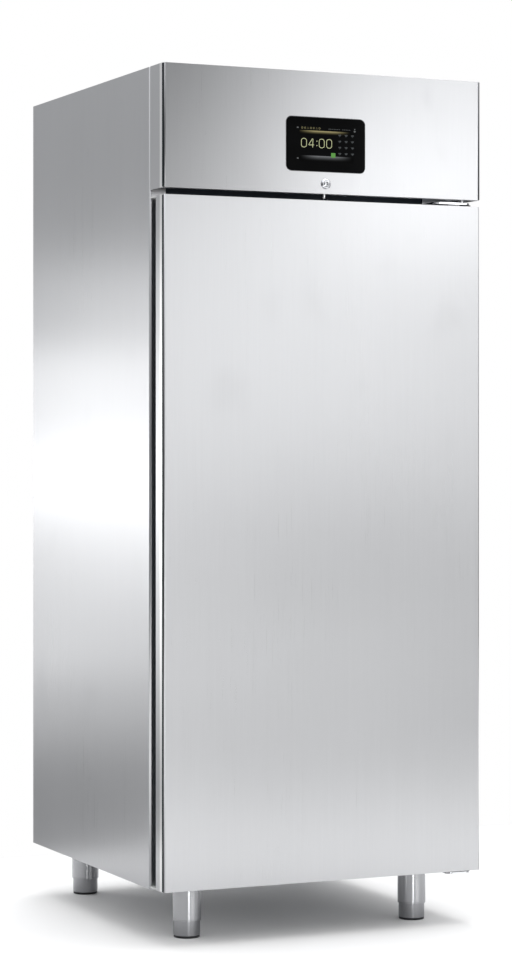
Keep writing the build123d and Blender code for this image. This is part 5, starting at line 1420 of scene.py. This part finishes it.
# Floor, light and camera
class PROOFER_OT_stage(bpy.types.Operator):
    """A pale floor, soft lamps, a white surround and the camera"""

    bl_idname = "proofer.stage"
    bl_label = "Floor, light and camera"

    def execute(self, context):
        stage = context.scene.proofer_stage
        self.floor(stage.floor / MM)
        self.surround(context.scene)
        # each lamp's name, place, what it points at, width, height in metres, and power in watts
        for name, place, target, wide, high, power in (
                ("top lamp", (0, -0.6, 4.6), (0, 0, 0), 4, 4, 90),
                ("front right lamp", (3.2, -4.2, 1.2), (0.1, -0.4, 1.1), 1.2, 1.6, 5.83),
                ("front left lamp", (1, -5.8, 1.2), (0.1, -0.4, 1.1), 1.2, 1.6, 7.09),
                ("front lamp", (2.2, -5.2, 1.7), (0.1, -0.4, 1.2), 1.6, 1.6, 12.15),
                ("front floor lamp", (2.3, -5.6, 0.12), (0, -0.43, 0.5), 2.2, 0.3, 5.43),
                ("near lamp", (1.35, -2.3, 2.1), (0.2, -0.4, 1.5), 0.6, 0.8, 2.46),
                ("back lamp", (0.9, 2.4, 4.4), (0, 0, 0), 1.6, 1.6, 45.74),
                ("outer side lamp", (-2.4, 3, 1.2), (-0.4, 0.2, 1.12), 0.8, 1.2, 5.08),
                ("tall side lamp", (-1.45, 2.4, 1.25), (-0.4, 0, 1.15), 0.4, 0.9, 0.81),
                ("low side lamp", (-1.75, 3, 0.7), (-0.4, 0, 0.9), 1.2, 0.8, 3.1),
                ("side floor lamp", (-2, 3.4, 0.15), (-0.4, 0, 0.6), 1.6, 0.3, 0.82),
                ("strip lamp", (-0.6, -4, 0.35), (-0.1, -0.3, 0.1), 0.8, 1.2, 16),
                ("side lamp", (-1.25, 2, 1.16), (-0.4, 0, 1.1), 0.7, 0.5, 1)):
            self.lamp(name, place, target, wide, high, power * stage.brightness)
        self.camera(context.scene, stage)
        return {"FINISHED"}

    def floor(self, size):
        """A pale slab just under the feet, shorter behind the cabinet."""
        half = size / 2
        ground = Form()
        ground.box(-half, half, -half, half * 0.36, -20, -0.05)
        ground.thing("floor", [floor_paint("studio floor")])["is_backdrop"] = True

    def surround(self, scene):
        """White behind the cabinet, even light on dull surfaces, and a dim room for the steel."""
        sky = Sky("studio")
        scene.world = sky.owner
        towards = sky.node("ShaderNodeTexCoord")
        up = sky.part(towards, 2).most(0)
        behind = sky.node("ShaderNodeVectorMath", {"operation": "DOT_PRODUCT"}, {
            0: towards, 1: (-0.411, 0.912, 0)}, "Value").most(0)
        strength = 0.18 + up ** 1.5 * 2.9 + behind ** 3 * 0.202
        dull, white, bright = (
            sky.node("ShaderNodeBackground", None, {"Color": colour, "Strength": amount})
            for colour, amount in (((1, 1, 1), 1), ((1, 1, 1), 1), ((0.97, 0.98, 1), strength)))
        camera_ray, glossy_ray = (
            sky.node("ShaderNodeLightPath", output=name) for name in ("Is Camera Ray", "Is Glossy Ray"))
        room = sky.node("ShaderNodeMixShader", None, {0: glossy_ray, 1: dull, 2: bright})
        seen = sky.node("ShaderNodeMixShader", None, {0: camera_ray, 1: room, 2: white})
        sky.node("ShaderNodeOutputWorld", None, {"Surface": seen}, None)

    def lamp(self, name, place, target, wide, high, power):
        """A soft rectangular lamp that points at a target."""
        light = bpy.data.lights.new(name, "AREA")
        light.shape = "RECTANGLE"
        light.size = wide
        light.size_y = high
        light.energy = power
        made = bpy.data.objects.new(name, light)
        made.location = place
        made.rotation_euler = (Vector(target) - Vector(place)).to_track_quat("-Z", "Y").to_euler()
        bpy.context.scene.collection.objects.link(made)

    def camera(self, scene, stage):
        """The level camera that sees the cabinet as the photograph does."""
        lens = bpy.data.cameras.new("camera")
        lens.sensor_fit = "AUTO"
        lens.sensor_width = 36
        lens.lens = stage.lens
        lens.shift_y = -0.0392
        lens.clip_end = 200
        made = bpy.data.objects.new("camera", lens)
        made.location = stage.camera
        made.rotation_euler = (math.pi / 2, 0, -stage.turn)
        scene.collection.objects.link(made)
        scene.camera = made
        scene.view_settings.view_transform = "Standard"


class PROOFER_PT_panel(bpy.types.Panel):
    """The cabinet's settings and pieces, in the 3D view's sidebar."""

    bl_label = "Retarder proofer"
    bl_idname = "PROOFER_PT_panel"
    bl_space_type = "VIEW_3D"
    bl_region_type = "UI"
    bl_category = "Proofer"

    def draw(self, context):
        layout = self.layout
        for group, names in ((context.scene.proofer_colours, ProoferColours.__annotations__),
                             (context.scene.proofer_sizes, ProoferSizes.__annotations__),
                             (context.scene.proofer_stage, ProoferStage.__annotations__)):
            box = layout.box()
            for name in names:
                box.prop(group, name)
        for step in STEPS:
            layout.operator(step.bl_idname)


STEPS = (PROOFER_OT_shell, PROOFER_OT_opening, PROOFER_OT_dashboard, PROOFER_OT_display, PROOFER_OT_lock,
         PROOFER_OT_door, PROOFER_OT_gasket, PROOFER_OT_hinges, PROOFER_OT_feet, PROOFER_OT_compressor,
         PROOFER_OT_condenser, PROOFER_OT_fans, PROOFER_OT_pipes, PROOFER_OT_electrics, PROOFER_OT_chamber,
         PROOFER_OT_guards, PROOFER_OT_cold, PROOFER_OT_stage)
SETTINGS = {"proofer_colours": ProoferColours, "proofer_sizes": ProoferSizes, "proofer_stage": ProoferStage}


def register():
    for name, group in SETTINGS.items():
        bpy.utils.register_class(group)
        setattr(bpy.types.Scene, name, bpy.props.PointerProperty(type=group))
    for item in STEPS + (PROOFER_PT_panel,):
        bpy.utils.register_class(item)


def unregister():
    for item in reversed(STEPS + (PROOFER_PT_panel,)):
        bpy.utils.unregister_class(item)
    for name, group in SETTINGS.items():
        delattr(bpy.types.Scene, name)
        bpy.utils.unregister_class(group)


def main():
    """Run every step in order, and measure the sizes before and after."""
    register()
    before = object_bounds()
    for step in STEPS:
        getattr(bpy.ops.proofer, step.bl_idname.split(".")[1])()
    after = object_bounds()
    {"frame": plain(before), "scene": plain(after)}


def plain(value):
    """Vectors as plain lists."""
    if isinstance(value, dict):
        return {key: plain(item) for key, item in value.items()}
    if isinstance(value, (float, int, str)) or value is None:
        return value
    return [plain(item) for item in value]


if __name__ == "__main__":
    main()
